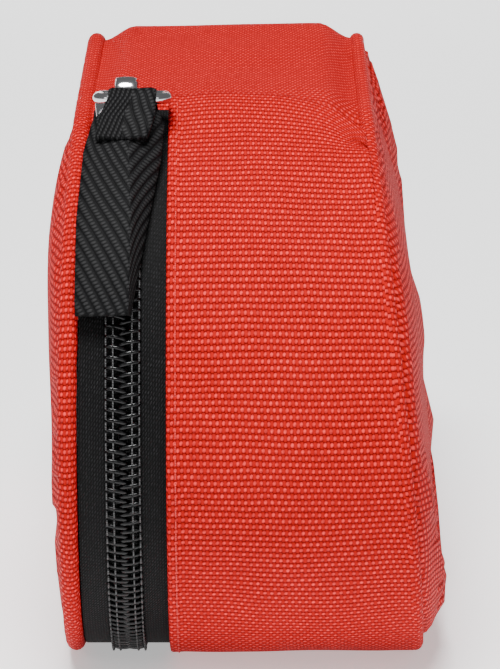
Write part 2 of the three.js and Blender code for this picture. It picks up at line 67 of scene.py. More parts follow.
LENGTH = GUSSET_HIGH.y - GUSSET_LOW.y
HEIGHT = PIPING_HIGH.z
END_RADIUS = 56 * MM
CORNER_RADIUS = 38 * MM
LID_CORD = 1.8 * MM
BACK_CORD = 1.5 * MM
LID_SEAM_BASE = PIPING_LOW.x + 2 * LID_CORD
LID_SEAM_TOP = PIPING_HIGH.x
BACK_SEAM_BASE = BACK_HIGH.x - 2 * BACK_CORD
BACK_SEAM_TOP = BACK_LOW.x
ZIP_X = (SLIDER_LOW.x + SLIDER_HIGH.x) / 2
GUSSET_EDGE_X = GUSSET_LOW.x
COIL_HALF_WIDTH = 3.5 * MM
NEAR_SEAM_DEG = 100
FAR_SEAM_DEG = 430
SLIDER_DEG = 107
COIL_START_DEG = 103.6
COIL_END_DEG = 427
SLIDER_MOUTH_DEG = 114.5

JOINTS = {joint["name"]: joint for joint in frame["joints"]}
RING_PIVOT = Vector(JOINTS["pull_ring_flip"]["pos_m"])
TAB_PIVOT = Vector(JOINTS["pull_tab_swing"]["pos_m"])
HINGE_LINE = Vector(JOINTS["lid_open"]["pos_m"])

CAMERA_ELEVATION = 15
CAMERA_DISTANCE = 0.8
CAMERA_TARGET = Vector((0, -0.0855, 0.0745))
CAMERA_LENS = 234


END_Y = LENGTH / 2 - END_RADIUS
END_Z = HEIGHT - END_RADIUS
BLEND = math.asin((END_Z - CORNER_RADIUS) / (END_RADIUS - CORNER_RADIUS))
CORNER_Y = END_Y + (END_RADIUS - CORNER_RADIUS) * math.cos(BLEND)
BLEND_DEG = math.degrees(BLEND)

# Each stretch of the outline: centre y, centre z, radius, and the directions that it faces.
ARCS = [
    (CORNER_Y, CORNER_RADIUS, CORNER_RADIUS, -90, -BLEND_DEG),
    (END_Y, END_Z, END_RADIUS, -BLEND_DEG, 90),
    (-END_Y, END_Z, END_RADIUS, 90, 180 + BLEND_DEG),
    (-CORNER_Y, CORNER_RADIUS, CORNER_RADIUS, 180 + BLEND_DEG, 270),
]
FLATS = {1: 2 * END_Y, 3: 2 * CORNER_Y}


def outline_stretches():
    """(start length, length, arc or flat) for one turn round the outline, from under the far end."""
    stretches, start = [], 0.0
    for index, arc in enumerate(ARCS):
        length = arc[2] * math.radians(arc[4] - arc[3])
        stretches.append((start, length, arc, None))
        start += length
        if index in FLATS:
            stretches.append((start, FLATS[index], arc, FLATS[index]))
            start += FLATS[index]
    return stretches, start


STRETCHES, PERIMETER = outline_stretches()


def length_at(degrees):
    """How far round the outline the surface first faces this way."""
    turns = 0
    while degrees > 270:
        degrees -= 360
        turns += 1
    for start, _, arc, flat in STRETCHES:
        if flat is None and arc[3] <= degrees <= arc[4]:
            return turns * PERIMETER + start + arc[2] * math.radians(degrees - arc[3])
    raise ValueError(degrees)


def outline_at(s):
    """(y, z, normal y, normal z) at a length round the outline."""
    s %= PERIMETER
    for start, length, arc, flat in STRETCHES:
        if s <= start + length:
            break
    centre_y, centre_z, radius, low, high = arc
    if flat is None:
        angle = math.radians(low) + (s - start) / radius
        shift = 0.0
    else:
        angle = math.radians(high)
        shift = (s - start) * (-1 if high == 90 else 1)
    ny, nz = math.cos(angle), math.sin(angle)
    return centre_y + radius * ny + shift, centre_z + radius * nz, ny, nz


LID_SEAM_POWER = 5
BACK_SEAM_POWER = 1.3


def seam_x(base, top, power, z):
    """A seam that leans in towards the top, faster near the top with a higher power."""
    return base + (top - base) * min(max(z / HEIGHT, 0), 1) ** power


def lid_seam_x(z):
    return seam_x(LID_SEAM_BASE, LID_SEAM_TOP, LID_SEAM_POWER, z)


def back_seam_x(z):
    return seam_x(BACK_SEAM_BASE, BACK_SEAM_TOP, BACK_SEAM_POWER, z)


TOP_ROLL = 3.2 * MM
ROLL_REACH = 6 * MM


def smooth_step(value, low, high):
    t = min(max((value - low) / (high - low), 0.0), 1.0)
    return t * t * (3 - 2 * t)


def top_roll(nz):
    return TOP_ROLL * smooth_step(nz, 0.7, 1.0)


def roll_at(x, z, nz):
    """The same for any x, fading out away from the two seams."""
    near = min(x - lid_seam_x(z), back_seam_x(z) - x)
    return top_roll(nz) * (1 - smooth_step(near, -1 * MM, ROLL_REACH))


def on_outline(x, s, inset):
    y, z, ny, nz = outline_at(s)
    return Vector((x, y - inset * ny, z - inset * nz))


def near_end_point(x, radius, degrees):
    """A point at a radius from the axis of the near end's arc."""
    angle = math.radians(degrees)
    return Vector((x, -END_Y + radius * math.cos(angle), END_Z + radius * math.sin(angle)))


def ripple(point, size, height):
    """Smooth, repeatable unevenness, as soft cloth has."""
    return noise.noise(point / size) * height


# ---- Mesh building ----

def add_mesh(name, verts, faces, face_uvs=None, smooth=True):
    mesh = bpy.data.meshes.new(name)
    mesh.from_pydata([tuple(v) for v in verts], [], faces)
    if face_uvs is not None:
        layer = mesh.uv_layers.new(name="UVMap")
        layer.data.foreach_set("uv", np.array(face_uvs, dtype=np.float32).ravel())
    if smooth:
        mesh.shade_smooth()
    piece = bpy.data.objects.new(name, mesh)
    bpy.context.scene.collection.objects.link(piece)
    return piece


def loft(name, rows, us, vs, closed_rows=False, smooth=True):
    """Skins rings of points. us has one value per ring point and one more, vs one per ring."""
    count, width = len(rows), len(rows[0])
    verts = [point for row in rows for point in row]
    faces, uvs = [], []
    for i in range(count if closed_rows else count - 1):
        below, above = i, (i + 1) % count
        for j in range(width):
            k = (j + 1) % width
            faces.append((below * width + j, below * width + k, above * width + k, above * width + j))
            u0, u1 = us[j], us[j + 1]
            v0, v1 = vs[i], vs[i + 1] if i + 1 < len(vs) else 2 * vs[i] - vs[i - 1]
            uvs += [(u0, v0), (u1, v0), (u1, v1), (u0, v1)]
    if not closed_rows:
        for row, flip in ((0, True), (count - 1, False)):
            ring = list(range(row * width, (row + 1) * width))
            faces.append(tuple(reversed(ring)) if flip else tuple(ring))
            uvs += [(us[j], vs[row]) for j in (reversed(range(width)) if flip else range(width))]
    piece = add_mesh(name, verts, faces, uvs, smooth)
    face_outwards(piece)
    return piece


def face_outwards(piece):
    mesh = bmesh.new()
    mesh.from_mesh(piece.data)
    bmesh.ops.recalc_face_normals(mesh, faces=mesh.faces)
    mesh.to_mesh(piece.data)
    mesh.free()


FAR_SINK = 1.7 * MM


def far_sink(s):
    """The zip and the long gusset dip under the hinge gusset at the far end."""
    end = length_at(FAR_SEAM_DEG)
    return FAR_SINK * smooth_step(s, end - 34 * MM, end - 6 * MM)


def strip_section(low, high, thickness, across=24, edge=4):
    """A closed ring of (x, depth) points: a flat strip with rounded edges."""
    half = thickness / 2
    outer = [(x, 0.0) for x in np.linspace(low + half, high - half, across)]
    turn = [math.pi * k / edge for k in range(1, edge)]
    right = [(high - half + half * math.sin(a), half - half * math.cos(a)) for a in turn]
    inner = [(x, thickness) for x in np.linspace(high - half, low + half, across)]
    left = [(low + half - half * math.sin(a), half + half * math.cos(a)) for a in turn]
    return outer + right + inner + left


def tube(name, path, radius, sides=8, closed=False, flatten=1.0):
    """A round cord along points. radius is a number or one per point."""
    path = [Vector(p) for p in path]
    count = len(path)
    radii = radius if hasattr(radius, "__len__") else [radius] * count
    rows = []
    side = None
    for i, point in enumerate(path):
        ahead = path[(i + 1) % count] if closed or i + 1 < count else point
        behind = path[i - 1] if closed or i > 0 else point
        tangent = (ahead - behind).normalized()
        if side is None:
            side = tangent.orthogonal().normalized()
        side = (side - tangent * side.dot(tangent)).normalized()
        other = tangent.cross(side)
        rows.append([
            point + side * math.cos(a) * radii[i] + other * math.sin(a) * radii[i] * flatten
            for a in (2 * math.pi * k / sides for k in range(sides))
        ])
    us = [2 * math.pi * radii[0] / MM * k / sides for k in range(sides + 1)]
    vs = [0.0]
    for here, there in zip(path, path[1:]):
        vs.append(vs[-1] + (there - here).length / MM)
    return loft(name, rows, us, vs, closed)


def flat_mapped(name, verts, faces, across=1, up=2):
    """A closed mesh whose UVs are two of its coordinates, in millimetres."""
    uvs = [(verts[v][across] / MM, verts[v][up] / MM) for face in faces for v in face]
    piece = add_mesh(name, verts, faces, uvs)
    face_outwards(piece)
    return piece


def disc(name, rows):
    """Skins rings of points that face along X, and fills the first and the last ring."""
    count, last = len(rows[0]), len(rows) - 1
    verts = [point for row in rows for point in row]
    faces = []
    for i in range(last):
        for k in range(count):
            n = (k + 1) % count
            faces.append((i * count + k, i * count + n, (i + 1) * count + n, (i + 1) * count + k))
    faces.append(tuple(range(count)))
    faces.append(tuple(reversed(range(last * count, (last + 1) * count))))
    return flat_mapped(name, verts, faces)


def border_faces(across, up):
    """Joins two grids of points, one listed after the other, all round their border."""
    total = across * up
    border = [i * up for i in range(across)] + [(across - 1) * up + j for j in range(1, up)]
    border += [i * up + up - 1 for i in range(across - 2, -1, -1)] + list(range(up - 2, 0, -1))
    pairs = zip(border, border[1:] + border[:1])
    return [(here, there, there + total, here + total) for here, there in pairs]


def join_pieces(name, pieces):
    """One object from several, keeping their UVs."""
    bpy.ops.object.select_all(action="DESELECT")
    for piece in pieces:
        piece.select_set(True)
    bpy.context.view_layer.objects.active = pieces[0]
    if len(pieces) > 1:
        bpy.ops.object.join()
    pieces[0].name = name
    return pieces[0]


def apply_modifiers(piece):
    graph = bpy.context.evaluated_depsgraph_get()
    mesh = bpy.data.meshes.new_from_object(piece.evaluated_get(graph))
    piece.modifiers.clear()
    piece.data = mesh
    return piece


def bevelled(piece, width, segments=3):
    modifier = piece.modifiers.new("edges", "BEVEL")
    modifier.width = width
    modifier.segments = segments
    modifier.limit_method = "ANGLE"
    piece = apply_modifiers(piece)
    piece.data.shade_smooth()
    return piece


def solid_plate(name, outline, low, high, bevel, segments=3):
    """A plate of an (x, y) outline between two z values, with rounded edges."""
    count = len(outline)
    verts = [(x, y, low) for x, y in outline] + [(x, y, high) for x, y in outline]
    faces = [tuple(reversed(range(count))), tuple(range(count, 2 * count))]
    faces += [(i, (i + 1) % count, count + (i + 1) % count, count + i) for i in range(count)]
    piece = add_mesh(name, verts, faces)
    face_outwards(piece)
    return bevelled(piece, bevel, segments)


def finish_piece(piece, material, slot, body=None, replaces=()):
    piece.data.materials.clear()
    piece.data.materials.append(material)
    if body:
        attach(piece, body)
    if replaces:
        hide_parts(*replaces)
    return piece


# ---- Material building ----

class Nodes:
    """Short words for the node tree of one material."""

    def __init__(self, name):
        self.material = bpy.data.materials.new(name)
        self.material.use_nodes = True
        self.tree = self.material.node_tree
        self.shader = self.tree.nodes["Principled BSDF"]

    def add(self, kind, **values):
        node = self.tree.nodes.new(kind)
        for key, value in values.items():
            setattr(node, key, value)
        return node

    def link(self, source, target):
        self.tree.links.new(source, target)

    def fill(self, socket, value):
        if isinstance(value, bpy.types.NodeSocket):
            self.link(value, socket)
        else:
            socket.default_value = value

    def math(self, operation, *values, clamp=False):
        node = self.add("ShaderNodeMath", operation=operation, use_clamp=clamp)
        for socket, value in zip(node.inputs, values):
            self.fill(socket, value)
        return node.outputs[0]

    def plus(self, first, second, clamp=False):
        return self.math("ADD", first, second, clamp=clamp)

    def minus(self, first, second, clamp=False):
        return self.math("SUBTRACT", first, second, clamp=clamp)

    def times(self, first, second, clamp=False):
        return self.math("MULTIPLY", first, second, clamp=clamp)

    def over(self, first, second, clamp=False):
        return self.math("DIVIDE", first, second, clamp=clamp)

    def mix(self, factor, first, second):
        node = self.add("ShaderNodeMix", data_type="RGBA")
        self.fill(node.inputs["Factor"], factor)
        for socket, value in ((node.inputs["A"], first), (node.inputs["B"], second)):
            if not isinstance(value, bpy.types.NodeSocket):
                value = (*value, 1.0)
            self.fill(socket, value)
        return node.outputs["Result"]

    def uv(self, wobble=0.0, wobble_scale=0.05):
        """The piece's own UV, in millimetres, a little uneven."""
        node = self.add("ShaderNodeUVMap", uv_map="UVMap")
        split = self.add("ShaderNodeSeparateXYZ")
        if wobble == 0:
            self.link(node.outputs[0], split.inputs[0])
            return split.outputs[0], split.outputs[1]
        waves = self.add("ShaderNodeTexNoise")
        waves.inputs["Scale"].default_value = wobble_scale
        waves.inputs["Detail"].default_value = 3
        self.link(node.outputs[0], waves.inputs["Vector"])
        centre = self.add("ShaderNodeVectorMath", operation="SUBTRACT")
        self.link(waves.outputs["Color"], centre.inputs[0])
        centre.inputs[1].default_value = (0.5, 0.5, 0.5)
        moved = self.add("ShaderNodeVectorMath", operation="MULTIPLY_ADD")
        self.link(centre.outputs[0], moved.inputs[0])
        moved.inputs[1].default_value = (wobble, wobble, 0)
        self.link(node.outputs[0], moved.inputs[2])
        self.link(moved.outputs[0], split.inputs[0])
        return split.outputs[0], split.outputs[1]

    def noise(self, scale, detail=3, coordinates=None):
        node = self.add("ShaderNodeTexNoise")
        node.inputs["Scale"].default_value = scale
        node.inputs["Detail"].default_value = detail
        if coordinates is None:
            place = self.add("ShaderNodeTexCoord")
            coordinates = place.outputs["Object"]
        self.link(coordinates, node.inputs["Vector"])
        return node.outputs["Fac"]

    def bump(self, height, distance, strength=1.0, below=None):
        node = self.add("ShaderNodeBump")
        node.inputs["Distance"].default_value = distance
        node.inputs["Strength"].default_value = strength
        self.link(height, node.inputs["Height"])
        if below is not None:
            self.link(below, node.inputs["Normal"])
        return node.outputs[0]

    def done(self, color, roughness, normal=None, **sockets):
        self.fill(self.shader.inputs["Base Color"], color if isinstance(color, bpy.types.NodeSocket)
                  else (*color, 1.0))
        self.fill(self.shader.inputs["Roughness"], roughness)
        if normal is not None:
            self.link(normal, self.shader.inputs["Normal"])
        for label, value in sockets.items():
            self.shader.inputs[label.replace("_", " ")].default_value = value
        return self.material


def cell(nodes, value, pitch, shift=0.0):
    """Position inside a repeating cell, from -0.5 to 0.5."""
    scaled = nodes.over(value, pitch)
    moved = nodes.plus(scaled, shift)
    return nodes.minus(nodes.math("FRACT", moved), 0.5)


def oval(nodes, across, along, half_across, half_along):
    """A rounded bump: 1 in the middle, 0 outside the half widths."""
    a = nodes.math("POWER", nodes.over(nodes.math("ABSOLUTE", across), half_across), 2.0)
    b = nodes.math("POWER", nodes.over(nodes.math("ABSOLUTE", along), half_along), 2.0)
    left = nodes.minus(1.0, nodes.plus(a, b), clamp=True)
    return nodes.math("SQRT", left)


def float_weave(nodes, u, v, pitch, row, half_across, half_along):
    """Staggered floats over crossing yarns: returns (float height, cross yarn height)."""
    row_number = nodes.math("FLOOR", nodes.over(v, row))
    stagger = nodes.times(nodes.math("FLOORED_MODULO", row_number, 2.0), 0.5)
    along = cell(nodes, v, row)
    leaning = nodes.plus(u, nodes.times(along, 0.12 * pitch))
    across = cell(nodes, leaning, pitch, stagger)
    floats = oval(nodes, across, along, half_across, half_along)
    half_step = nodes.plus(stagger, 0.5)
    between = cell(nodes, u, pitch, half_step)
    yarns = oval(nodes, between, along, 0.34, 0.62)
    return floats, yarns


def red_weave(name, pitch=1.2, row=1.27, wobble=0.9):
    nodes = Nodes(name)
    u, v = nodes.uv(wobble, 0.07)
    floats, yarns = float_weave(nodes, u, v, pitch, row, 0.31, 0.4)
    slanted = nodes.plus(u, nodes.times(v, 0.35))
    strands = nodes.math("SINE", nodes.times(slanted, 40.0))
    patches = nodes.noise(60.0, 4)
    # Painted light and shade: the gaps between the floats are painted dark red as painted shade, the cross
    # yarns a middle red, and the floats bright red as painted highlights, with painted glints that vary from
    # float to float; patches vary the red's tone at random.
    base = nodes.mix(patches, (0.13, 0.0002, 0.0002), (0.22, 0.0004, 0.0004))
    with_yarns = nodes.mix(nodes.times(yarns, 0.7), base, (0.6, 0.001, 0.001))
    top = nodes.mix(patches, (0.93, 0.02, 0.024), (0.98, 0.05, 0.055))
    painted_glints = nodes.plus(0.1, nodes.times(nodes.noise(900.0, 1), 1.5))
    painted_float_highlight = nodes.times(nodes.math("POWER", floats, 1.4), painted_glints, clamp=True)
    color = nodes.mix(painted_float_highlight, with_yarns, top)
    height = nodes.plus(nodes.times(yarns, 0.45), floats)
    height = nodes.plus(height, nodes.times(strands, 0.05))
    normal = nodes.bump(height, 0.3 * MM)
    roughness = nodes.minus(0.8, nodes.times(floats, 0.3))
    return nodes.done(color, roughness, normal, Specular_IOR_Level=0.1)


def herringbone(name, half_width, rib=1.1, pitch=0.75, light=0.09, centre=0.0):
    """Black webbing: dotted diagonal ribs that meet in a V along the middle."""
    nodes = Nodes(name)
    u, v = nodes.uv(0.15, 0.3)
    from_middle = nodes.math("ABSOLUTE", nodes.minus(u, centre))
    slanted = nodes.minus(v, nodes.times(from_middle, 1.9))
    across = cell(nodes, slanted, rib * 3)
    along = cell(nodes, nodes.plus(v, nodes.times(from_middle, 0.4)), pitch)
    knots = oval(nodes, across, along, 0.36, 0.42)
    ribs = oval(nodes, across, 0.0, 0.46, 1.0)
    fuzz = nodes.noise(2500.0, 2)
    base = nodes.mix(fuzz, (0.001, 0.001, 0.0011), (0.005, 0.005, 0.0055))
    # The raised knots are painted lighter than the black ground, a painted highlight on each knot; fuzz
    # varies the ground's tone at random.
    color = nodes.mix(nodes.times(knots, 0.75), base, (light, light, light * 1.02))
    height = nodes.plus(nodes.times(ribs, 0.8), nodes.times(knots, 0.6))
    height = nodes.plus(height, nodes.times(fuzz, 0.1))
    normal = nodes.bump(height, 0.2 * MM)
    edge = nodes.minus(half_width, from_middle)
    roughness = nodes.minus(0.62, nodes.times(edge, 0.004))
    return nodes.done(color, roughness, normal, Specular_IOR_Level=0.08)


def fine_twill(name, dark, light, rib=0.9):
    """A thin woven tape with small diagonal sparkle."""
    nodes = Nodes(name)
    u, v = nodes.uv(0.1, 0.4)
    slanted = nodes.plus(v, nodes.times(u, 1.6))
    across = cell(nodes, slanted, rib)
    along = cell(nodes, u, 0.5)
    knots = oval(nodes, across, along, 0.34, 0.4)
    grain = nodes.noise(1800.0, 2)
    glint = nodes.times(knots, nodes.math("POWER", grain, 2.0))
    color = nodes.mix(glint, dark, light)
    height = nodes.plus(knots, nodes.times(grain, 0.3))
    return nodes.done(color, 0.7, nodes.bump(height, 0.2 * MM), Specular_IOR_Level=0.12)


def monofilament(name):
    nodes = Nodes(name)
    grain = nodes.noise(900.0, 2)
    color = nodes.mix(grain, (0.001, 0.001, 0.0012), (0.003, 0.003, 0.0033))
    roughness = nodes.plus(0.14, nodes.times(grain, 0.1))
    return nodes.done(color, roughness, nodes.bump(grain, 0.01 * MM), Specular_IOR_Level=0.25)


def plated_metal(name, tone=(0.6, 0.6, 0.62), roughness=0.09, grain_scale=350.0):
    nodes = Nodes(name)
    grain = nodes.noise(grain_scale, 3)
    wear = nodes.noise(120.0, 4)
    color = nodes.mix(wear, tone, tuple(0.9 * c for c in tone))
    rough = nodes.plus(roughness, nodes.times(wear, roughness))
    return nodes.done(color, rough, nodes.bump(grain, 0.012 * MM), Metallic=1.0)


def brushed_metal(name):
    nodes = Nodes(name)
    place = nodes.add("ShaderNodeTexCoord")
    stretch = nodes.add("ShaderNodeMapping")
    stretch.inputs["Scale"].default_value = (400, 60, 3000)
    nodes.link(place.outputs["Object"], stretch.inputs["Vector"])
    lines = nodes.noise(1.0, 4, stretch.outputs["Vector"])
    color = nodes.mix(lines, (0.5, 0.51, 0.53), (0.68, 0.69, 0.7))
    rough = nodes.plus(0.2, nodes.times(lines, 0.2))
    return nodes.done(color, rough, nodes.bump(lines, 0.015 * MM), Metallic=1.0)


def plain_cloth(name, dark, light, pitch=0.45, depth=0.08, sheen=0.1):
    """A plain weave with small square cells."""
    nodes = Nodes(name)
    u, v = nodes.uv(0.4, 0.12)
    across = cell(nodes, u, pitch)
    along = cell(nodes, v, pitch)
    threads = nodes.times(oval(nodes, across, 0.0, 0.5, 1.0), oval(nodes, along, 0.0, 0.5, 1.0))
    patches = nodes.noise(90.0, 4)
    # The thread tops are painted lighter and the gaps between the threads dark, as painted shade between the
    # threads; patches vary the threads' tone at random.
    color = nodes.mix(nodes.times(threads, nodes.plus(0.6, patches)), dark, light)
    normal = nodes.bump(threads, depth * MM)
    return nodes.done(color, 0.85, normal, Sheen_Weight=sheen)


def crepe_cloth(name):
    """Crinkled elastic bandage: tight ridges round the roll, over a plain weave."""
    nodes = Nodes(name)
    u, v = nodes.uv(1.2, 0.25)
    ridges = oval(nodes, cell(nodes, v, 1.3), 0.0, 0.5, 1.0)
    threads = oval(nodes, cell(nodes, u, 0.7), cell(nodes, v, 0.65), 0.5, 0.5)
    patches = nodes.noise(140.0, 4)
    height = nodes.plus(ridges, nodes.times(threads, 0.35))
    # The colour follows the height: the ridges are painted light tan and the grooves between them brown, as
    # painted shade in the grooves; patches vary the tone at random.
    color = nodes.mix(nodes.times(height, nodes.plus(0.35, patches)),
                      (0.42, 0.25, 0.13), (0.8, 0.61, 0.43))
    return nodes.done(color, 0.9, nodes.bump(height, 0.25 * MM), Sheen_Weight=0.3)


def mesh_cloth(name):
    """Open black mesh: rounded holes in a staggered grid, cut through with alpha."""
    nodes = Nodes(name)
    u, v = nodes.uv()
    holes, _ = float_weave(nodes, u, v, 1.9, 1.3, 0.36, 0.36)
    solid = nodes.math("LESS_THAN", holes, 0.05)
    grain = nodes.noise(1500.0, 2)
    color = nodes.mix(grain, (0.008, 0.008, 0.009), (0.03, 0.03, 0.032))
    nodes.link(solid, nodes.shader.inputs["Alpha"])
    return nodes.done(color, 0.6, nodes.bump(grain, 0.05 * MM))


def wrapper(name, tone, shade, metallic=0.0, roughness=0.38, crinkle=0.5):
    """A sealed film or paper wrapper with soft crinkles."""
    nodes = Nodes(name)
    folds = nodes.noise(110.0, 5)
    fine = nodes.noise(900.0, 3)
    color = nodes.mix(folds, shade, tone)
    height = nodes.plus(folds, nodes.times(fine, 0.12))
    rough = nodes.plus(roughness, nodes.times(fine, 0.15))
    return nodes.done(color, rough, nodes.bump(height, crinkle * MM), Metallic=metallic)


def moulded_plastic(name, tone):
    nodes = Nodes(name)
    grain = nodes.noise(1200.0, 3)
    patches = nodes.noise(60.0, 2)
    color = nodes.mix(patches, tone, tuple(0.93 * c for c in tone))
    rough = nodes.plus(0.3, nodes.times(grain, 0.12))
    return nodes.done(color, rough, nodes.bump(grain, 0.02 * MM))


def thread(name, dark, light):
    nodes = Nodes(name)
    u, v = nodes.uv()
    twist = nodes.math("SINE", nodes.plus(nodes.times(v, 14.0), nodes.times(u, 3.0)))
    shade = nodes.plus(0.5, nodes.times(twist, 0.5))
    return nodes.done(nodes.mix(shade, dark, light), 0.5, nodes.bump(shade, 0.05 * MM))


def pale_ground(name):
    nodes = Nodes(name)
    patches = nodes.noise(3.0, 2)
    return nodes.done(nodes.mix(patches, (0.9, 0.9, 0.9), (0.94, 0.94, 0.94)), 0.9,
                      Emission_Color=(1, 1, 1, 1), Emission_Strength=0.55)


RED = red_weave("red_fabric")
RED_TIGHT = red_weave("red_piping", 1.15, 1.2, 0.5)
BLACK_TAPE = fine_twill("black_tape", (0.0008, 0.0008, 0.0009), (0.05, 0.05, 0.053))
NYLON = monofilament("zip_nylon")
CHROME = plated_metal("zip_chrome")
STEEL = brushed_metal("steel")
LINING_CLOTH = plain_cloth("grey_lining", (0.12, 0.125, 0.13), (0.3, 0.31, 0.32))
ELASTIC = herringbone("black_elastic", 11, 0.8, 0.6, 0.05)
MESH = mesh_cloth("black_mesh")
COTTON = plain_cloth("white_cotton", (0.6, 0.58, 0.53), (0.9, 0.88, 0.84), 0.7, 0.15, 0.3)
CREPE = crepe_cloth("crepe")
PAPER = wrapper("paper_wrap", (0.86, 0.89, 0.92), (0.66, 0.72, 0.78), 0.0, 0.45, 0.35)
FOIL = wrapper("foil_wrap", (0.82, 0.83, 0.85), (0.6, 0.61, 0.63), 0.85, 0.2, 0.8)
NITRILE = wrapper("nitrile", (0.06, 0.24, 0.62), (0.03, 0.14, 0.42), 0.0, 0.5, 0.4)
PLASTIC = moulded_plastic("white_plastic", (0.87, 0.87, 0.86))
BLACK_THREAD = thread("black_thread", (0.004, 0.004, 0.004), (0.06, 0.06, 0.062))
RED_THREAD = thread("red_thread", (0.3, 0.0004, 0.0002), (0.75, 0.004, 0.003))


# ---- The bag: gussets ----

CLOTH = 1.1 * MM
STEP = 1.1 * MM
SEAM_ALLOWANCE = 1.6 * MM
GUSSET_SWELL = 0.7 * MM
HEM_RISE = 0.35 * MM
LAP_RISE = 0.9 * MM
CREASE_DEPTH = 0.5 * MM
CREASE_X = -6 * MM
CREASE_Z = 62 * MM
STITCH_PITCH = 2.6 * MM
STITCH_RADIUS = 0.17 * MM


def stations(start, end, step=STEP):
    return list(np.linspace(start, end, max(2, int((end - start) / step) + 1)))


def strip_along(name, start, end, section, step=STEP, lift=None, moved=None):
    """A cloth strip round the outline. section(z) gives (x, depth) points.

    lift raises the points and moved shifts them along the outline.
    """
    rows, path = [], stations(start, end, step)
    for s in path:
        _, z, _, _ = outline_at(s)
        row = []
        for x, depth in section(z):
            raised = lift(x, s, depth) if lift else 0.0
            row.append(on_outline(x, moved(x, s) if moved else s, depth - raised))
        rows.append(row)
    us = [x / MM for x, _ in section(HEIGHT / 2)]
    return loft(name, rows, us + us[:1], [s / MM for s in path])


def gusset_lift(x, s, depth):
    """The gusset swells a little between its seams, and is uneven."""
    y, z, _, nz = outline_at(s)
    low, high = GUSSET_EDGE_X, back_seam_x(z)
    across = (x - low) / (high - low)
    swell = GUSSET_SWELL * math.sin(math.pi * min(max(across, 0), 1))
    calm = min(1.0, z / (6 * MM)) * min(1.0, (high - x) / (5 * MM))
    calm = max(calm, 0.0)
    hem = HEM_RISE * (1 - smooth_step(x - low, 1.2 * MM, 2.4 * MM)) * (1 if depth < CLOTH / 2 else 0)
    lap = LAP_RISE * (1 - smooth_step(s - length_at(NEAR_SEAM_DEG), 2 * MM, 16 * MM))
    lap -= far_sink(s) + (roll_at(x, z, nz) if y > 0 else 0.0)
    place = Vector((x, y, z))
    crease = place - Vector((CREASE_X, y, CREASE_Z))
    slant = crease.x + 0.5 * crease.z
    lap -= CREASE_DEPTH * math.exp(-(slant / (1.6 * MM)) ** 2 - (crease.z / (11 * MM)) ** 2) * (y < 0)
    uneven = swell + ripple(place, 26 * MM, 0.9 * MM) + ripple(place, 9 * MM, 0.25 * MM)
    return hem * calm + lap + uneven * calm


def add_long_gusset():
    start, end = length_at(NEAR_SEAM_DEG), length_at(FAR_SEAM_DEG)

    def section(z):
        return strip_section(GUSSET_EDGE_X, back_seam_x(z) + SEAM_ALLOWANCE, CLOTH, 40)

    def moved(x, s):
        """The lap seam dips a little between its ends and runs down beside the back panel."""
        near_back = max(0.0, (x - 4 * MM) / (15 * MM))
        wave = 0.5 * MM * math.sin(x / (4.5 * MM))
        dip = 11 * MM * near_back ** 2 - 1.3 * MM + wave
        return s + dip * (1 - smooth_step(s - start, 0, 20 * MM))

    piece = strip_along("long_gusset_cloth", start, end, section, lift=gusset_lift, moved=moved)
    return finish_piece(piece, RED, "red_fabric", "bag_base", ["long_gusset"])


def stitch_row(name, path_at, start, end, pitch, thickness):
    """Separate stitches along a line. path_at(s, rise) gives a point over the cloth."""
    stitches = []
    for s in np.arange(start, end - pitch, pitch):
        path = []
        for k in range(5):
            rise = 0.9 * thickness * math.sin(math.pi * k / 4)
            path.append(path_at(s + 0.7 * pitch * k / 4, rise))
        stitches.append(tube(name, path, thickness, 5))
    return join_pieces(name, stitches)


def add_topstitch():
    """The line of stitches that holds the gusset's folded edge down on the zip tape."""
    start, end = length_at(NEAR_SEAM_DEG), length_at(FAR_SEAM_DEG)
    x = GUSSET_EDGE_X + 1.7 * MM

    def path_at(s, rise):
        return on_outline(x, s, 0.1 * MM - gusset_lift(x, s, 0.0) - rise)

    start, end = start + 2 * MM, end - 2 * MM
    piece = stitch_row("gusset_topstitch", path_at, start, end, STITCH_PITCH, STITCH_RADIUS)
    finish_piece(piece, RED_THREAD, "red_fabric", "bag_base")


def add_hinge_gusset():
    start, end = length_at(FAR_SEAM_DEG - 360) - 4 * MM, length_at(NEAR_SEAM_DEG) + 3 * MM

    def section(z):
        low, high = lid_seam_x(z) - 1.2 * MM, back_seam_x(z) + SEAM_ALLOWANCE
        return [(x, depth + 1.2 * MM) for x, depth in strip_section(low, high, CLOTH, 40)]

    def lift(x, s, depth):
        y, z, _, nz = outline_at(s)
        tucked = 1.1 * MM * smooth_step(s, end - 8 * MM, end - 2 * MM)
        return ripple(Vector((x, y, z)), 30 * MM, 0.8 * MM) - roll_at(x, z, nz) - tucked

    def moved(x, s):
        near_back = max(0.0, (x - 2 * MM) / (15 * MM))
        return s + 13 * MM * near_back ** 2 * smooth_step(s, end - 20 * MM, end)

    piece = strip_along("hinge_gusset_cloth", start, end, section, lift=lift, moved=moved)
    finish_piece(piece, RED, "red_fabric", None, ["hinge_gusset"])
    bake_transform(piece)


# ---- Panels and piping ----

def add_piping(name, seam, side, radius, body, node):
    rows, path = [], stations(0, PERIMETER, STEP)[:-1]
    sides = 14
    for s in path:
        y, z, ny, nz = outline_at(s)
        inset = radius + top_roll(nz)
        centre_y, centre_z = y - inset * ny, z - inset * nz
        x = seam(centre_z) + side * radius
        swell = radius * (1 + 0.05 * noise.noise(Vector((s / (4 * MM), 0, side))))
        ring = []
        for k in range(sides):
            a = 2 * math.pi * k / sides
            out = swell * math.cos(a)
            ring.append(Vector((x + swell * math.sin(a), centre_y + out * ny, centre_z + out * nz)))
        rows.append(ring)
    us = [2 * math.pi * radius / MM * k / sides for k in range(sides + 1)]
    vs = [s / MM for s in path] + [PERIMETER / MM]
    piece = loft(name, rows, us, vs, closed_rows=True)
    return finish_piece(piece, RED_TIGHT, "red_piping", body, [node])


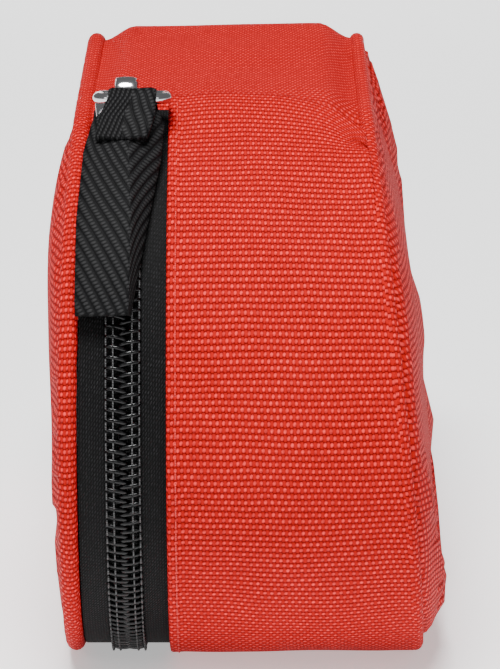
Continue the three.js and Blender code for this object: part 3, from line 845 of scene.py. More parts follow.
def outline_gap(y, z):
    """How far inside the outline a point is, near enough."""
    if abs(y) > END_Y and z > CORNER_RADIUS:
        return END_RADIUS - math.hypot(abs(y) - END_Y, z - END_Z)
    if abs(y) > CORNER_Y:
        return CORNER_RADIUS - math.hypot(abs(y) - CORNER_Y, z - CORNER_RADIUS)
    return min(z, HEIGHT - z)


def settle(piece, is_pinned, cap=1.0 * MM):
    """Lets a padded panel fill out under pressure inside its seams, a little slack, as sewn foam does."""
    mesh = piece.data
    before = np.array([vert.co for vert in mesh.vertices])
    pinned = piece.vertex_groups.new(name="seam")
    pinned.add([i for i, point in enumerate(before) if is_pinned(point)], 1.0, "REPLACE")
    cloth = piece.modifiers.new("cloth", "CLOTH")
    cloth.settings.use_pressure = True
    cloth.settings.uniform_pressure_force = 4
    cloth.settings.vertex_group_mass = pinned.name
    cloth.settings.shrink_min = -0.03
    cloth.settings.effector_weights.gravity = 0
    for step in range(1, 21):
        bpy.context.scene.frame_set(step)
    evaluated = piece.evaluated_get(bpy.context.evaluated_depsgraph_get())
    after = np.array([vert.co for vert in evaluated.data.vertices])
    piece.modifiers.clear()
    bpy.context.scene.frame_set(1)
    move = after - before
    length = np.linalg.norm(move, axis=1, keepdims=True)
    move *= np.minimum(1.0, cap / np.maximum(length, 1e-9))
    mesh.vertices.foreach_set("co", (before + move).ravel())
    mesh.update()


def add_panel(name, seam, side, inset, edge, bulge, top_loss, body, node):
    """A padded panel: a dome between two skins, flatter towards the top, its rim behind the piping."""
    count = 220
    rim = [outline_at(PERIMETER * k / count) for k in range(count)]
    rings = [1.0, 0.985, 0.965, 0.935, 0.89, 0.83, 0.75, 0.64, 0.5, 0.34, 0.17]
    rows = []
    inner_x = side * 0.4 * MM

    def point(k, radius, offset):
        y, z, ny, nz = rim[k]
        sunk = inset + top_roll(nz)
        y, z = (y - sunk * ny) * radius, HEIGHT / 2 + (z - sunk * nz - HEIGHT / 2) * radius
        return Vector((seam(z) + offset, y, z))

    rows.append([point(k, 0.17, inner_x) for k in range(count)])
    rows.append([point(k, 0.98, inner_x) for k in range(count)])
    for radius in rings:
        rise = math.sqrt(max(0.0, 1 - radius ** 8))
        ring = []
        for k in range(count):
            here = point(k, radius, 0)
            fullness = 1 - top_loss * smooth_step(here.z, 0.66 * HEIGHT, 0.97 * HEIGHT)
            height = edge + (bulge - edge) * rise * fullness
            height += ripple(here, 34 * MM, 1.1 * MM) * rise
            ring.append(Vector((here.x + side * height, here.y, here.z)))
        rows.append(ring)
    piece = disc(name, rows)

    def is_pinned(place):
        y, z = place[1], place[2] - HEIGHT / 2
        outward = min(outline_gap(y, place[2]), 30 * MM)
        return outward < inset + 5 * MM or side * (place[0] - seam(z + HEIGHT / 2)) < 1.2 * MM

    settle(piece, is_pinned)
    finish_piece(piece, RED, "red_fabric", body, [node])
    return piece


# ---- The zip ----

COIL_PITCH = 1.97 * MM
FILAMENT = 0.43 * MM
COIL_OVERLAP = 0.95 * MM
COIL_TOP_DEPTH = 0.15 * MM
COIL_HEIGHT = 2.2 * MM
TAPE_DEPTH = 1.5 * MM
TAPE_THICKNESS = 0.6 * MM
COIL_SEAM_OFFSETS = (1.75, 3.1)


def add_tape(name, start_deg, end_deg, low, high, body, node):
    def section(z):
        flat = strip_section(low(z), high(z), TAPE_THICKNESS, 10, 3)
        return [(x, depth + TAPE_DEPTH) for x, depth in flat]

    def lift(x, s, depth):
        y, z, _, nz = outline_at(s)
        return -far_sink(s) - (roll_at(x, z, nz) if y > 0 else 0.0)

    piece = strip_along(name, length_at(start_deg), length_at(end_deg), section, 1.5 * MM, lift)
    return finish_piece(piece, BLACK_TAPE, "black_webbing", body, [node])


def coil_path(start, end, side, per_turn=14):
    """A flattened helix of nylon, in step with the other side's, its heads just past the centre line."""
    low, high = -COIL_OVERLAP, COIL_HALF_WIDTH
    middle, reach = (low + high) / 2, (high - low) / 2 - FILAMENT
    phase = 0.0 if side > 0 else 0.5
    first = math.ceil(start / COIL_PITCH)
    turns = int((end - start) / COIL_PITCH) - 1
    path, radii = [], []
    for step in range(turns * per_turn + 1):
        turn = first + step / per_turn
        angle = 2 * math.pi * step / per_turn
        x = ZIP_X + side * (middle + reach * math.cos(angle))
        s = COIL_PITCH * (turn + phase - 0.3 * math.sin(angle) / math.pi)
        depth = COIL_TOP_DEPTH + COIL_HEIGHT / 2 - (COIL_HEIGHT / 2 - FILAMENT) * math.sin(angle)
        path.append(on_outline(x, s, depth + far_sink(s)))
        head = max(0.0, -math.cos(angle)) ** 4
        radii.append(FILAMENT * (1 + 0.3 * head))
    return path, radii


def add_coil(name, start_deg, end_deg, side, body, node):
    start, end = length_at(start_deg), length_at(end_deg)
    path, radii = coil_path(start, end, side)
    piece = tube(name, path, radii, 8)
    finish_piece(piece, NYLON, "zip_nylon", body, [node])
    phase = 0.25 if side > 0 else 0.75
    first = (math.ceil(start / COIL_PITCH) + phase) * COIL_PITCH
    seams = []
    for offset in COIL_SEAM_OFFSETS:
        def path_at(s, rise):
            depth = COIL_TOP_DEPTH + 0.05 * MM - rise + far_sink(s)
            return on_outline(ZIP_X + side * offset * MM, s, depth)

        last = end - COIL_PITCH
        seams.append(stitch_row(f"{name}_seam", path_at, first, last, COIL_PITCH, STITCH_RADIUS))
    seam = join_pieces(f"{name}_stitches", seams)
    finish_piece(seam, BLACK_THREAD, "black_webbing", body)


def add_zip():
    tape_start, tape_end = NEAR_SEAM_DEG + 0.4, FAR_SEAM_DEG - 0.6
    under = 1.2 * MM
    chain = 0.15 * MM
    base = (lambda z: ZIP_X + chain), (lambda z: GUSSET_EDGE_X + under)
    lid = (lambda z: lid_seam_x(z) + 0.1 * MM), (lambda z: ZIP_X - chain)
    lid_start = SLIDER_MOUTH_DEG + 0.3
    add_tape("zip_tape_base", tape_start, tape_end, *base, "bag_base", "base_zip_tape")
    add_tape("zip_tape_lid", lid_start, tape_end, *lid, "lid", "lid_zip_tape")
    add_tape("zip_tape_lid_start", tape_start, SLIDER_MOUTH_DEG, *lid, "bag_base", "lid_zip_tape_start")
    add_coil("zip_coil_base", COIL_START_DEG, COIL_END_DEG, 1, "bag_base", "base_zip_coil")
    add_coil("zip_coil_lid", lid_start, COIL_END_DEG, -1, "lid", "lid_zip_coil")
    add_coil("zip_coil_lid_start", COIL_START_DEG, SLIDER_MOUTH_DEG, -1, "bag_base", "lid_zip_coil_start")


# ---- The slider, ring and pull tab ----

def slider_matrix():
    angle = math.radians(SLIDER_DEG)
    place = near_end_point(ZIP_X, END_RADIUS, SLIDER_DEG)
    return Matrix.Translation(place) @ Matrix.Rotation(angle - math.pi / 2, 4, "X")


def slider_outline(growth=0.0):
    """Wide shoulders at the mouth end, narrower at the tail."""
    points = [(-3.6, -7), (3.6, -7), (5.2, -5.6), (5.6, -2), (6.0, 2.5), (5.6, 5.4), (3.2, 7),
              (-3.2, 7), (-5.6, 5.4), (-6.0, 2.5), (-5.6, -2), (-5.2, -5.6)]
    return [((x + math.copysign(growth, x)) * MM, y * MM) for x, y in points]


def add_slider():
    place = slider_matrix()
    top = solid_plate("slider_top", slider_outline(), 0.5 * MM, 1.9 * MM, 0.5 * MM, 4)
    under = solid_plate("slider_under", slider_outline(), -4.7 * MM, -3.4 * MM, 0.4 * MM)
    post = solid_plate("slider_post", [(-1.1 * MM, 4.4 * MM), (1.1 * MM, 4.4 * MM), (1.1 * MM, 6.4 * MM),
                                       (-1.1 * MM, 6.4 * MM)], -3.6 * MM, 0.7 * MM, 0.2 * MM)
    flanges = []
    for side in (-1, 1):
        rim = [(side * 4.2 * MM, -4.6 * MM), (side * 5.5 * MM, -4.6 * MM), (side * 5.7 * MM, 3.6 * MM),
               (side * 4.2 * MM, 3.6 * MM)]
        flanges.append(solid_plate("slider_flange", rim, -0.9 * MM, 0.8 * MM, 0.25 * MM))
    body = join_pieces("slider_casting", [top, under, post, *flanges])
    body.data.transform(place)
    finish_piece(body, CHROME, "zip_chrome", "slider", ["slider_body"])
    add_crown(place)


# Across the crown's strap: how far out along its half width, and how far it rises, in millimetres.
CROWN_SECTION = [(-1, -0.5), (-1.0, 0.2), (-0.8, 0.48), (0, 0.62), (0.8, 0.48), (1.0, 0.2), (1, -0.5)]


def add_crown(place):
    """The domed strap over the ring's rear bar, wider at its feet."""
    rows = []
    count = 22
    for k in range(count):
        a = math.pi * (-0.12 + 1.24 * k / (count - 1))
        y, z = 2.4 + 2.35 * math.cos(a), 4.2 + 2.3 * math.sin(a)
        if math.sin(a) < 0:
            z = 4.2 + 6.4 * math.sin(a)
        half = 1.9 + 0.35 * abs(math.cos(a))
        out_y, out_z = math.cos(a), max(math.sin(a), 0)
        ring = []
        for x, rise in CROWN_SECTION:
            ring.append(Vector((x * half * MM, (y + rise * out_y) * MM, (z + rise * out_z) * MM)))
        rows.append(ring)
    piece = loft("slider_crown_strap", rows, [float(i) for i in range(8)], [float(i) for i in range(count)])
    smooth = piece.modifiers.new("smooth", "SUBSURF")
    smooth.levels = smooth.render_levels = 2
    apply_modifiers(piece)
    piece.data.transform(place)
    finish_piece(piece, CHROME, "zip_chrome", "slider", ["slider_crown"])


RING_RAISE_DEG = 25
RING_SHIFT = 1.3 * MM
RING_WIRE = 1.2 * MM


def add_ring():
    """A rounded rectangle of oval wire, flat from its rear bar to its front bar."""
    half, near, far, corner = 6.3 * MM, 0.0, -9 * MM, 2.6 * MM
    corners = [(half - corner, near - corner, 0), (-half + corner, near - corner, 90),
               (-half + corner, far + corner, 180), (half - corner, far + corner, 270)]
    path = []
    for x, y, start in corners:
        for k in range(7):
            a = math.radians(start + 15 * k)
            path.append(Vector((x + corner * math.cos(a), y + corner * math.sin(a), 0)))
    piece = tube("pull_ring_wire", path, RING_WIRE, 14, closed=True)
    angle = math.radians(SLIDER_DEG - 90 - RING_RAISE_DEG)
    place = Matrix.Translation(RING_PIVOT + Vector((RING_SHIFT, 0, 0)))
    flatter = Matrix.Diagonal((1, 1, 0.85, 1))
    piece.data.transform(place @ Matrix.Rotation(angle, 4, "X") @ flatter)
    finish_piece(piece, CHROME, "zip_chrome", "ring", ["pull_ring"])


TAB_REST_RADIUS = END_RADIUS + 1.2 * MM
TAB_TANGENT_DEG = 137
TAB_TIP_DEG = 155.5
WEBBING = 1.05 * MM
BAR_RADIUS = 1.0 * MM
WEB = herringbone("black_webbing", 8, 1.15, 0.8, 0.024, 2.0)

# Along the webbing, from the tip up, over the bar and down the short sewn end, in millimetres: where its
# left edge, crease and right edge lie, how far the crease stands out and how far the right edge falls back.
TAB_KEYS = [
    (0, -32.2, -22.4, -21.9, 1.3, 0.3),
    (3, -32.3, -22.2, -21.4, 1.3, 0.6),
    (19, -32.2, -22.0, -18.9, 1.4, 1.6),
    (34, -31.2, -22.6, -16.6, 1.2, 1.8),
    (41, -29.6, -23.0, -16.2, 0.8, 1.0),
    (45, -26.6, -22.0, -17.6, 0.2, 0.1),
    (51, -26.6, -22.0, -17.6, 0.2, 0.1),
    (55, -28.2, -23.6, -17.8, 0.5, 0.3),
    (60, -29.0, -24.0, -19.3, 0.7, 0.3),
]


def tab_points():
    """(y, z) along the middle of the webbing's thickness."""
    bar = Vector((0, TAB_PIVOT.y, TAB_PIVOT.z))
    rest = TAB_REST_RADIUS + WEBBING / 2
    lying = [near_end_point(0, rest, d) for d in np.linspace(TAB_TIP_DEG, TAB_TANGENT_DEG, 16)]
    rise = (bar - lying[-1]).normalized()
    out = Vector((0, -rise.z, rise.y))
    loop = BAR_RADIUS + WEBBING / 2 + 0.1 * MM
    over = [bar - out * loop * math.cos(a) + rise * loop * math.sin(a)
            for a in np.linspace(-0.4, math.pi, 16)]
    sewn = [bar - rise * step * MM + out * (WEBBING * 1.02 + 0.9 * MM * math.exp(-step / 2.5))
            for step in np.linspace(1.5, 9.2, 14)]
    return lying + over + sewn


def resample(points, step):
    lengths = [0.0]
    for here, there in zip(points, points[1:]):
        lengths.append(lengths[-1] + (there - here).length)
    at = np.linspace(0, lengths[-1], int(lengths[-1] / step) + 1)
    ys = np.interp(at, lengths, [p.y for p in points])
    zs = np.interp(at, lengths, [p.z for p in points])
    return at, [Vector((0, y, z)) for y, z in zip(ys, zs)]


def tab_frames():
    """(length, point, outward direction) at every step along the webbing."""
    at, points = resample(tab_points(), 0.45 * MM)
    frames = []
    for i, s in enumerate(at):
        a, b = points[max(i - 2, 0)], points[min(i + 2, len(points) - 1)]
        along = (b - a).normalized()
        frames.append((s, points[i], Vector((0, -along.z, along.y))))
    return frames


def tab_keys(s):
    columns = list(zip(*TAB_KEYS))
    return [float(np.interp(s / MM, columns[0], column)) * MM for column in columns[1:]]


def tab_point(frame_here, x):
    """Where the webbing's middle is at this x, on one step of its length."""
    s, point, outward = frame_here
    left, crease, right, stand, fall = tab_keys(s)
    if x < crease:
        rise = stand * (x - left) / (crease - left)
    else:
        rise = stand - (stand + fall) * (x - crease) / max(right - crease, 0.1 * MM)
    return Vector((x, point.y, point.z)) + outward * rise


def add_tab():
    """Webbing folded over the ring's front bar, its short end sewn down on the long hanging one."""
    frames = tab_frames()
    total = frames[-1][0]
    rows = []
    flat = [-7.5 + 15 * k / 22 for k in range(23)]
    for here in frames:
        s, _, outward = here
        left, crease, right, _, _ = tab_keys(s)
        xs = list(np.linspace(left, crease, 15)) + list(np.linspace(crease, right, 9))[1:]
        hem = 0.5 * WEBBING if total - s < 2.6 * MM else 0.0
        edge = [min(1.0, 0.35 + 0.65 * min(k, 22 - k) / 2) for k in range(23)]
        top = [tab_point(here, x) + outward * (hem + edge[k] * WEBBING / 2) for k, x in enumerate(xs)]
        under = [tab_point(here, x) - outward * (edge[k] * WEBBING / 2) for k, x in enumerate(xs)]
        rows.append(top + under[::-1])
    us = flat + flat[::-1]
    webbing = loft("pull_tab_webbing", rows, us + us[:1], [here[0] / MM for here in frames])
    finish_piece(webbing, WEB, "black_webbing", "tab", ["pull_tab"])
    add_tab_stitches(frames)


def add_tab_stitches(frames):
    """One row of stitches across the sewn end, just inside its folded edge."""
    total = frames[-1][0]
    here = min(frames, key=lambda item: abs(item[0] - (total - 1.9 * MM)))
    left, _, right, _, _ = tab_keys(here[0])
    stitches = []
    for start in np.arange(left + 0.7 * MM, right - 1.2 * MM, 1.25 * MM):
        ends = [start + 0.85 * MM * t for t in np.linspace(0, 1, 6)]
        path = [tab_point(here, x) + here[2] * (WEBBING + 0.16 * MM * math.sin(math.pi * k / 5) - 0.05 * MM)
                for k, x in enumerate(ends)]
        stitches.append(tube("tab_stitch", path, 0.2 * MM, 6))
    finish_piece(join_pieces("pull_tab_stitches", stitches), BLACK_THREAD, "black_webbing", "tab")


# ---- Linings ----

LINING = 0.5 * MM


def add_gusset_lining():
    """The cloth that lines the gusset all the way round, seamed at the base's two edges."""
    rows, path = [], stations(0, PERIMETER, 2.2 * MM)[:-1]
    for s in path:
        _, z, _, nz = outline_at(s)
        row = []
        for x, depth in strip_section(GUSSET_EDGE_X + 1 * MM, back_seam_x(z) - 0.8 * MM, LINING, 20, 3):
            sag = ripple(on_outline(x, s, 0), 18 * MM, 0.5 * MM)
            row.append(on_outline(x, s, 3.0 * MM + depth + 1.5 * top_roll(nz) - sag))
        rows.append(row)
    us = [x / MM for x, _ in strip_section(GUSSET_EDGE_X, BACK_SEAM_BASE, LINING, 20, 3)]
    vs = [s / MM for s in path] + [PERIMETER / MM]
    piece = loft("gusset_lining_cloth", rows, us + us[:1], vs, closed_rows=True)
    width = np.mean([back_seam_x(outline_at(s)[1]) - GUSSET_EDGE_X - 1.8 * MM for s in path])
    finish_piece(piece, LINING_CLOTH, "grey_lining", "bag_base", ["gusset_lining"])


def rim_point(k, count, inset):
    y, z, ny, nz = outline_at(PERIMETER * k / count)
    sunk = inset + 1.5 * top_roll(nz)
    return y - sunk * ny, z - sunk * nz


def add_disc_lining(name, seam, offset, inset, body, node):
    """A flat sheet that lines a panel, uneven where it hangs between its seams."""
    count = 120
    rings = list(np.linspace(1.0, 0.06, 16))
    rims = [rim_point(k, count, inset) for k in range(count)]

    def skin(shift):
        rows = []
        for radius in rings:
            row = []
            for y, z in rims:
                z_here = HEIGHT / 2 + (z - HEIGHT / 2) * radius
                here = Vector((seam(z_here) + offset, y * radius, z_here))
                here.x += shift + ripple(here, 22 * MM, 0.5 * MM)
                row.append(here)
            rows.append(row)
        return rows

    piece = disc(name, skin(LINING / 2)[::-1] + skin(-LINING / 2))
    finish_piece(piece, LINING_CLOTH, "grey_lining", body, [node])


# ---- Soft contents ----

def pillow(name, low, high, thin, rim, crimp, wrinkle, full=1.0, layers=0):
    """A flat sealed pack between two corners, thin along one axis, with a pressed rim."""
    low, high = Vector(low), Vector(high)
    wide = [axis for axis in range(3) if axis != thin]
    half = (high - low) / 2
    centre = (high + low) / 2
    steps_a, steps_b = (max(24, int(half[axis] / MM * 1.2)) for axis in wide)
    grid = []
    for side in (1, -1):
        for i in range(steps_a + 1):
            for j in range(steps_b + 1):
                a, b = 2 * i / steps_a - 1, 2 * j / steps_b - 1
                inner_a = min(1.0, abs(a) * half[wide[0]] / (half[wide[0]] - rim))
                inner_b = min(1.0, abs(b) * half[wide[1]] / (half[wide[1]] - rim))
                swell = math.sqrt((1 - inner_a ** 6) * (1 - inner_b ** 6))
                point = Vector((0, 0, 0))
                point[wide[0]] = centre[wide[0]] + a * half[wide[0]]
                point[wide[1]] = centre[wide[1]] + b * half[wide[1]]
                noise_here = noise.noise(point / (9 * MM) + Vector((side * 5, 0, 0)))
                fine = noise.noise(point / (3 * MM) + Vector((side * 9, 0, 0)))
                depth = 0.25 * MM + swell * full * (half[thin] - 0.25 * MM)
                depth -= swell * wrinkle * (0.5 + 0.5 * noise_here + 0.25 * fine)
                flat = crimp * math.sin(point[wide[1]] / (0.45 * MM)) * (1 - min(1.0, swell * 8))
                if layers:
                    depth -= 0.3 * MM * swell * abs(math.sin(layers * math.pi * (a + 0.1 * noise_here)))
                point[thin] = centre[thin] + side * min(max(depth, 0.12 * MM), half[thin]) + flat
                grid.append(point)
    per_side = (steps_a + 1) * (steps_b + 1)
    faces = []
    for side in (0, 1):
        for i in range(steps_a):
            for j in range(steps_b):
                a = side * per_side + i * (steps_b + 1) + j
                quad = (a, a + 1, a + steps_b + 2, a + steps_b + 1)
                faces.append(quad if side == 0 else quad[::-1])
    faces += border_faces(steps_a + 1, steps_b + 1)
    return flat_mapped(name, grid, faces, *wide)


def add_pack(node, thin, material, slot, body, rim=3 * MM, crimp=0.08 * MM, wrinkle=0.5 * MM,
             full=1.0, layers=0):
    low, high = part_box(node)
    piece = pillow(f"{node}_soft", low, high, thin, rim, crimp, wrinkle, full, layers)
    finish_piece(piece, material, slot, body, [node])


def wound_roll(name, inner, outer, low, high, wrap, groove):
    """A rolled strip about Z: its ends show the spiral of the wraps."""
    sides = 72
    turns = int((outer - inner) / wrap)
    radii = [inner + (outer - inner) * k / (turns * 4) for k in range(turns * 4 + 1)]

    def spiral(radius, angle):
        phase = (radius - inner) / wrap - angle / (2 * math.pi)
        return groove * (0.5 + 0.5 * math.cos(2 * math.pi * phase)) + 0.15 * MM * noise.noise(
            Vector((radius / (3 * MM), angle, low / MM)))

    profile = [(radius, low, 1) for radius in radii]
    rise = (high - low) / 12
    profile += [(outer, low + rise * k, 0) for k in range(1, 12)]
    profile += [(radius, high, -1) for radius in reversed(radii)]
    rows = []
    for radius, z, end in profile:
        row = []
        for k in range(sides):
            angle = 2 * math.pi * k / sides
            dent = end * spiral(radius, angle)
            rounding = 0.5 * MM * max(0.0, 1 - (outer - radius) / (0.8 * MM)) * end
            swell = radius + 0.25 * MM * noise.noise(Vector((angle, z / (12 * MM), 3))) * (end == 0)
            step = 0.5 * MM * (end == 0) * smooth_step(angle, 0, 0.06) - 0.5 * MM * (end == 0)
            row.append(Vector(((swell + step) * math.cos(angle), (swell + step) * math.sin(angle),
                               z + dent + rounding)))
        rows.append(row)
    us = [outer / MM * 2 * math.pi * k / sides for k in range(sides + 1)]
    vs = [0.0]
    for here, there in zip(profile, profile[1:]):
        vs.append(vs[-1] + math.dist(here[:2], there[:2]) / MM)
    return loft(name, rows, us, vs, closed_rows=True)


def add_rolls():
    gauze = (COTTON, "white_cotton", 1.1 * MM)
    wraps = {"crepe_bandage": (CREPE, "crepe", 1.5 * MM), "gauze_bandage_1": gauze, "gauze_bandage_2": gauze}
    for node, (material, slot, wrap) in wraps.items():
        low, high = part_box(node)
        radius = (high.y - low.y) / 2
        roll = wound_roll(f"{node}_roll", 0.18 * radius, radius, 0.0, high.z - low.z, wrap, 0.7 * MM)
        roll.data.transform(Matrix.Translation(((low.x + high.x) / 2, (low.y + high.y) / 2, low.z)))
        finish_piece(roll, material, slot, "bag_base", [node])
        add_roll_loop(node, radius)


def add_roll_loop(node, radius):
    """An elastic strap round the roll, its two legs sewn to the pocket."""
    low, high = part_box(f"{node}_loop")
    middle_y = (low.y + high.y) / 2
    thickness = 0.9 * MM
    reach = radius + 0.4 * MM + thickness / 2
    centre_x = low.x + radius + 1.2 * MM
    plan = [(high.x, reach), (centre_x + 4 * MM, reach)]
    plan += [(centre_x + reach * math.cos(a), reach * math.sin(a)) for a in np.linspace(1.6, 4.7, 34)]
    plan += [(centre_x + 4 * MM, -reach), (high.x, -reach)]
    at = [0.0]
    for here, there in zip(plan, plan[1:]):
        at.append(at[-1] + math.dist(here, there))
    dense = np.linspace(0, at[-1], 90)
    xs, ys = (np.interp(dense, at, [point[axis] for point in plan]) for axis in (0, 1))
    heights = np.linspace(low.z, high.z, 18)
    rows = []
    for i in range(len(dense)):
        a, b = max(i - 1, 0), min(i + 1, len(dense) - 1)
        along = Vector((xs[b] - xs[a], ys[b] - ys[a], 0)).normalized()
        out = Vector((along.y, -along.x, 0))
        here = Vector((xs[i], middle_y + ys[i], 0))
        wall = [here + Vector((0, 0, z)) + out * (thickness / 2) for z in heights]
        wall += [here + Vector((0, 0, z)) - out * (thickness / 2) for z in reversed(heights)]
        rows.append(wall)
    us = [(z - low.z) / MM for z in heights]
    us = us + us[::-1]
    piece = loft(f"{node}_loop_elastic", rows, us + us[:1], list(dense / MM))
    finish_piece(piece, ELASTIC, "black_webbing", "bag_base", [f"{node}_loop"])


def add_tape_reel():
    low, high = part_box("adhesive_tape")
    radius = (high.z - low.z) / 2
    spool_low, spool_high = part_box("tape_spool")
    place = Matrix.Translation((low.x, (low.y + high.y) / 2, (low.z + high.z) / 2)) @ Matrix.Rotation(
        math.pi / 2, 4, "Y")
    reel = wound_roll("adhesive_tape_roll", (spool_high.z - spool_low.z) / 2 + 0.3 * MM, radius,
                      0.0, high.x - low.x, 0.5 * MM, 0.12 * MM)
    reel.data.transform(place)
    finish_piece(reel, COTTON, "white_cotton", "bag_base", ["adhesive_tape"])


def pouch(name, columns, thickness):
    """A thin sheet skinned from columns of points, with a back face just behind it."""
    verts = [point for column in columns for point in column]
    across, up = len(columns), len(columns[0])
    total = len(verts)
    verts += [point + Vector((-thickness, 0, 0)) for point in verts]
    faces = []
    for i in range(across - 1):
        for j in range(up - 1):
            a = i * up + j
            faces.append((a, a + 1, a + up + 1, a + up))
            faces.append((total + a, total + a + up, total + a + up + 1, total + a + 1))
    return flat_mapped(name, verts, faces + border_faces(across, up))


def add_back_pocket():
    """The pocket sheet inside the back panel, round at its two lower corners."""
    low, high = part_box("back_pocket")
    corner = 26 * MM
    columns = []
    for y in np.linspace(low.y, high.y, 70):
        over = max(0.0, abs(y) - (high.y - corner))
        foot = low.z + corner - math.sqrt(max(corner ** 2 - over ** 2, 0.0))
        column = []
        for z in np.linspace(foot, high.z, 34):
            here = Vector(((low.x + high.x) / 2 + LINING / 2, y, z))
            here.x += ripple(here, 20 * MM, 0.35 * MM)
            column.append(here)
        columns.append(column)
    piece = pouch("back_pocket_cloth", columns, LINING)
    finish_piece(piece, LINING_CLOTH, "grey_lining", "bag_base", ["back_pocket"])
    hem = [column[-1] + Vector((-LINING / 2, 0, 0)) for column in columns]
    binding = tube("back_pocket_binding", hem, 0.75 * MM, 8)
    finish_piece(binding, ELASTIC, "black_webbing", "bag_base")


def add_lid_pocket():
    """A mesh pocket sewn to the lid on three sides, with an elastic binding along its mouth."""
    low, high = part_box("lid_pocket")
    depth = high.x - low.x
    columns = []
    for u in np.linspace(-1, 1, 50):
        column = []
        for v in np.linspace(0, 1, 44):
            swell = math.sqrt(max(0.0, (1 - abs(u) ** 8) * (1 - (1 - v) ** 8)))
            here = Vector((low.x + 0.5 * MM + (depth - 0.5 * MM) * swell, (low.y + high.y) / 2
                           + u * (high.y - low.y) / 2, low.z + v * (high.z - low.z)))
            here.x += ripple(here, 10 * MM, 0.5 * MM) * swell
            column.append(here)
        columns.append(column)
    piece = pouch("lid_pocket_mesh", columns, 0.3 * MM)
    finish_piece(piece, MESH, "black_mesh", "lid", ["lid_pocket"])
    mouth = [column[-1] + Vector((-0.15 * MM, 0, 0.8 * MM)) for column in columns]
    binding = tube("lid_pocket_elastic", mouth, 1.3 * MM, 10, flatten=0.6)
    finish_piece(binding, ELASTIC, "black_webbing", "lid", ["lid_pocket_binding"])


def add_keeper():
    """A short elastic strap over the rim of the fixed finger ring, sewn to the lid at both ends."""
    low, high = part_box("scissor_keeper")
    middle = (low.z + high.z) / 2
    rows, xs = [], np.linspace(0, math.pi, 26)
    for a in xs:
        x = low.x + (high.x - low.x - 0.4 * MM) * math.sin(a) ** 0.5
        z = middle - 4.2 * MM * math.cos(a) - 0.6 * MM
        out = Vector((math.sin(a), 0, -math.cos(a)))
        rows.append([Vector((x, y, z)) + out * (side * 0.3 * MM)
                     for side, ys in ((1, (low.y, high.y)), (-1, (high.y, low.y)))
                     for y in np.linspace(*ys, 6)])
    us = [k for k in range(6)] + [k for k in range(5, -1, -1)]
    piece = loft("scissor_keeper_elastic", rows, [float(u) for u in us] + [0.0], [4.0 * a for a in xs])
    finish_piece(piece, ELASTIC, "black_webbing", "lid", ["scissor_keeper"])


def add_contents():
    add_rolls()
    add_tape_reel()
    add_back_pocket()
    add_lid_pocket()
    add_keeper()
    base, lid = "bag_base", "lid"
    add_pack("triangular_bandage_pack", 0, PAPER, "paper_wrap", base, 2.5 * MM, wrinkle=0.7 * MM, full=0.94)
    add_pack("foil_blanket_pack", 0, FOIL, "foil_wrap", base, 2 * MM, wrinkle=1.0 * MM)
    add_pack("glove_pack", 0, NITRILE, "nitrile", base, 1 * MM, crimp=0, wrinkle=0.6 * MM, layers=3)
    add_pack("wound_dressing_pack", 1, PAPER, "paper_wrap", base, 2.5 * MM, wrinkle=0.8 * MM)
    add_pack("wipe_sachets", 0, FOIL, "foil_wrap", lid, 2 * MM, wrinkle=0.3 * MM)
    add_pack("plaster_wallet", 0, PAPER, "paper_wrap", lid, 1.5 * MM, crimp=0, wrinkle=0.3 * MM)
    for node in ("tweezers", "scissor_half_fixed", "scissor_half_moving", "scissor_screw"):
        dress_node(node, STEEL)
    dress_node("tape_spool", PLASTIC)


def dress_node(node, material):
    """A rigid CAD part keeps its own shape and takes a material."""
    part = frame["nodes"][node]
    part.data.materials.clear()
    part.data.materials.append(material)


# ---- The scene ----

def add_floor():
    size = 6.0
    piece = add_mesh("floor", [(-size, -size, 0), (size, -size, 0), (size, size, 0), (-size, size, 0)],
                     [(0, 1, 2, 3)])
    piece.data.materials.append(pale_ground("pale_floor"))


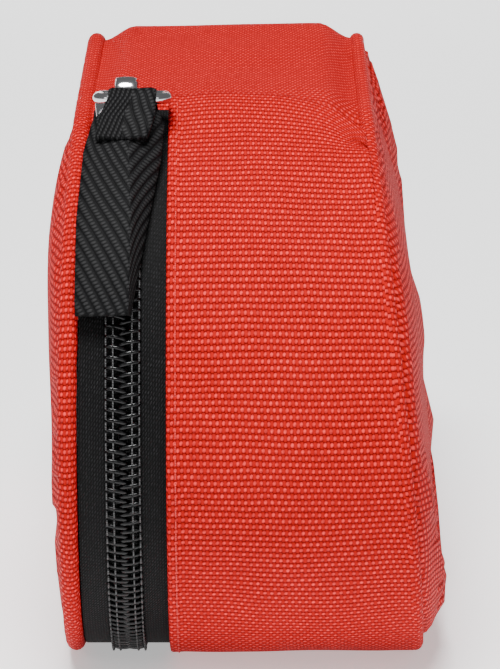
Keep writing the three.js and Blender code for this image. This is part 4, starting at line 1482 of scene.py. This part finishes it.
def add_light(name, place, size, power, target=(0, 0, 0.05)):
    data = bpy.data.lights.new(name, "AREA")
    data.shape = "DISK"
    data.size = size
    data.energy = power
    lamp = bpy.data.objects.new(name, data)
    lamp.location = place
    direction = Vector(target) - Vector(place)
    lamp.rotation_euler = direction.to_track_quat("-Z", "Y").to_euler()
    bpy.context.scene.collection.objects.link(lamp)


def add_lights():
    add_light("top_light", (-0.1, -0.5, 1.3), 0.6, 42)
    add_light("left_light", (-0.9, -1.0, 0.7), 0.4, 2.0)
    add_light("right_light", (0.8, -1.2, 0.8), 0.4, 1.5)
    add_light("floor_light", (0.0, 1.8, 1.2), 1.6, 90, (0, 2.6, 0))
    world = bpy.data.worlds.new("studio")
    world.use_nodes = True
    world.node_tree.nodes["Background"].inputs["Color"].default_value = (1, 1, 1, 1)
    world.node_tree.nodes["Background"].inputs["Strength"].default_value = 0.2
    bpy.context.scene.world = world


def add_camera():
    data = bpy.data.cameras.new("camera")
    data.lens = CAMERA_LENS
    data.sensor_width = 36
    data.clip_start = 0.01
    camera = bpy.data.objects.new("camera", data)
    angle = math.radians(CAMERA_ELEVATION)
    back = Vector((0, -math.cos(angle), math.sin(angle)))
    camera.location = CAMERA_TARGET + back * CAMERA_DISTANCE
    camera.rotation_euler = (-back).to_track_quat("-Z", "Y").to_euler()
    bpy.context.scene.collection.objects.link(camera)
    bpy.context.scene.camera = camera


add_camera()
add_floor()
add_lights()
add_long_gusset()
add_hinge_gusset()
add_topstitch()
add_piping("front_piping_cord", lid_seam_x, -1, LID_CORD, "lid", "front_piping")
add_piping("back_piping_cord", back_seam_x, 1, BACK_CORD, "bag_base", "back_piping")
add_panel("front_panel_pad", lid_seam_x, -1, 2 * LID_CORD - 0.4 * MM, LID_CORD, 5.3 * MM, 0.15,
          "lid", "front_panel")
add_panel("back_panel_pad", back_seam_x, 1, 2 * BACK_CORD - 0.4 * MM, BACK_CORD, 7.9 * MM, 0.55,
          "bag_base", "back_panel")
add_zip()
add_slider()
add_ring()
add_tab()
add_gusset_lining()
add_disc_lining("back_lining_cloth", back_seam_x, -0.7 * MM, 3.2 * MM, "bag_base", "back_lining")
add_disc_lining("lid_lining_cloth", lid_seam_x, 0.3 * MM, 4.6 * MM, "lid", "lid_lining")
add_contents()
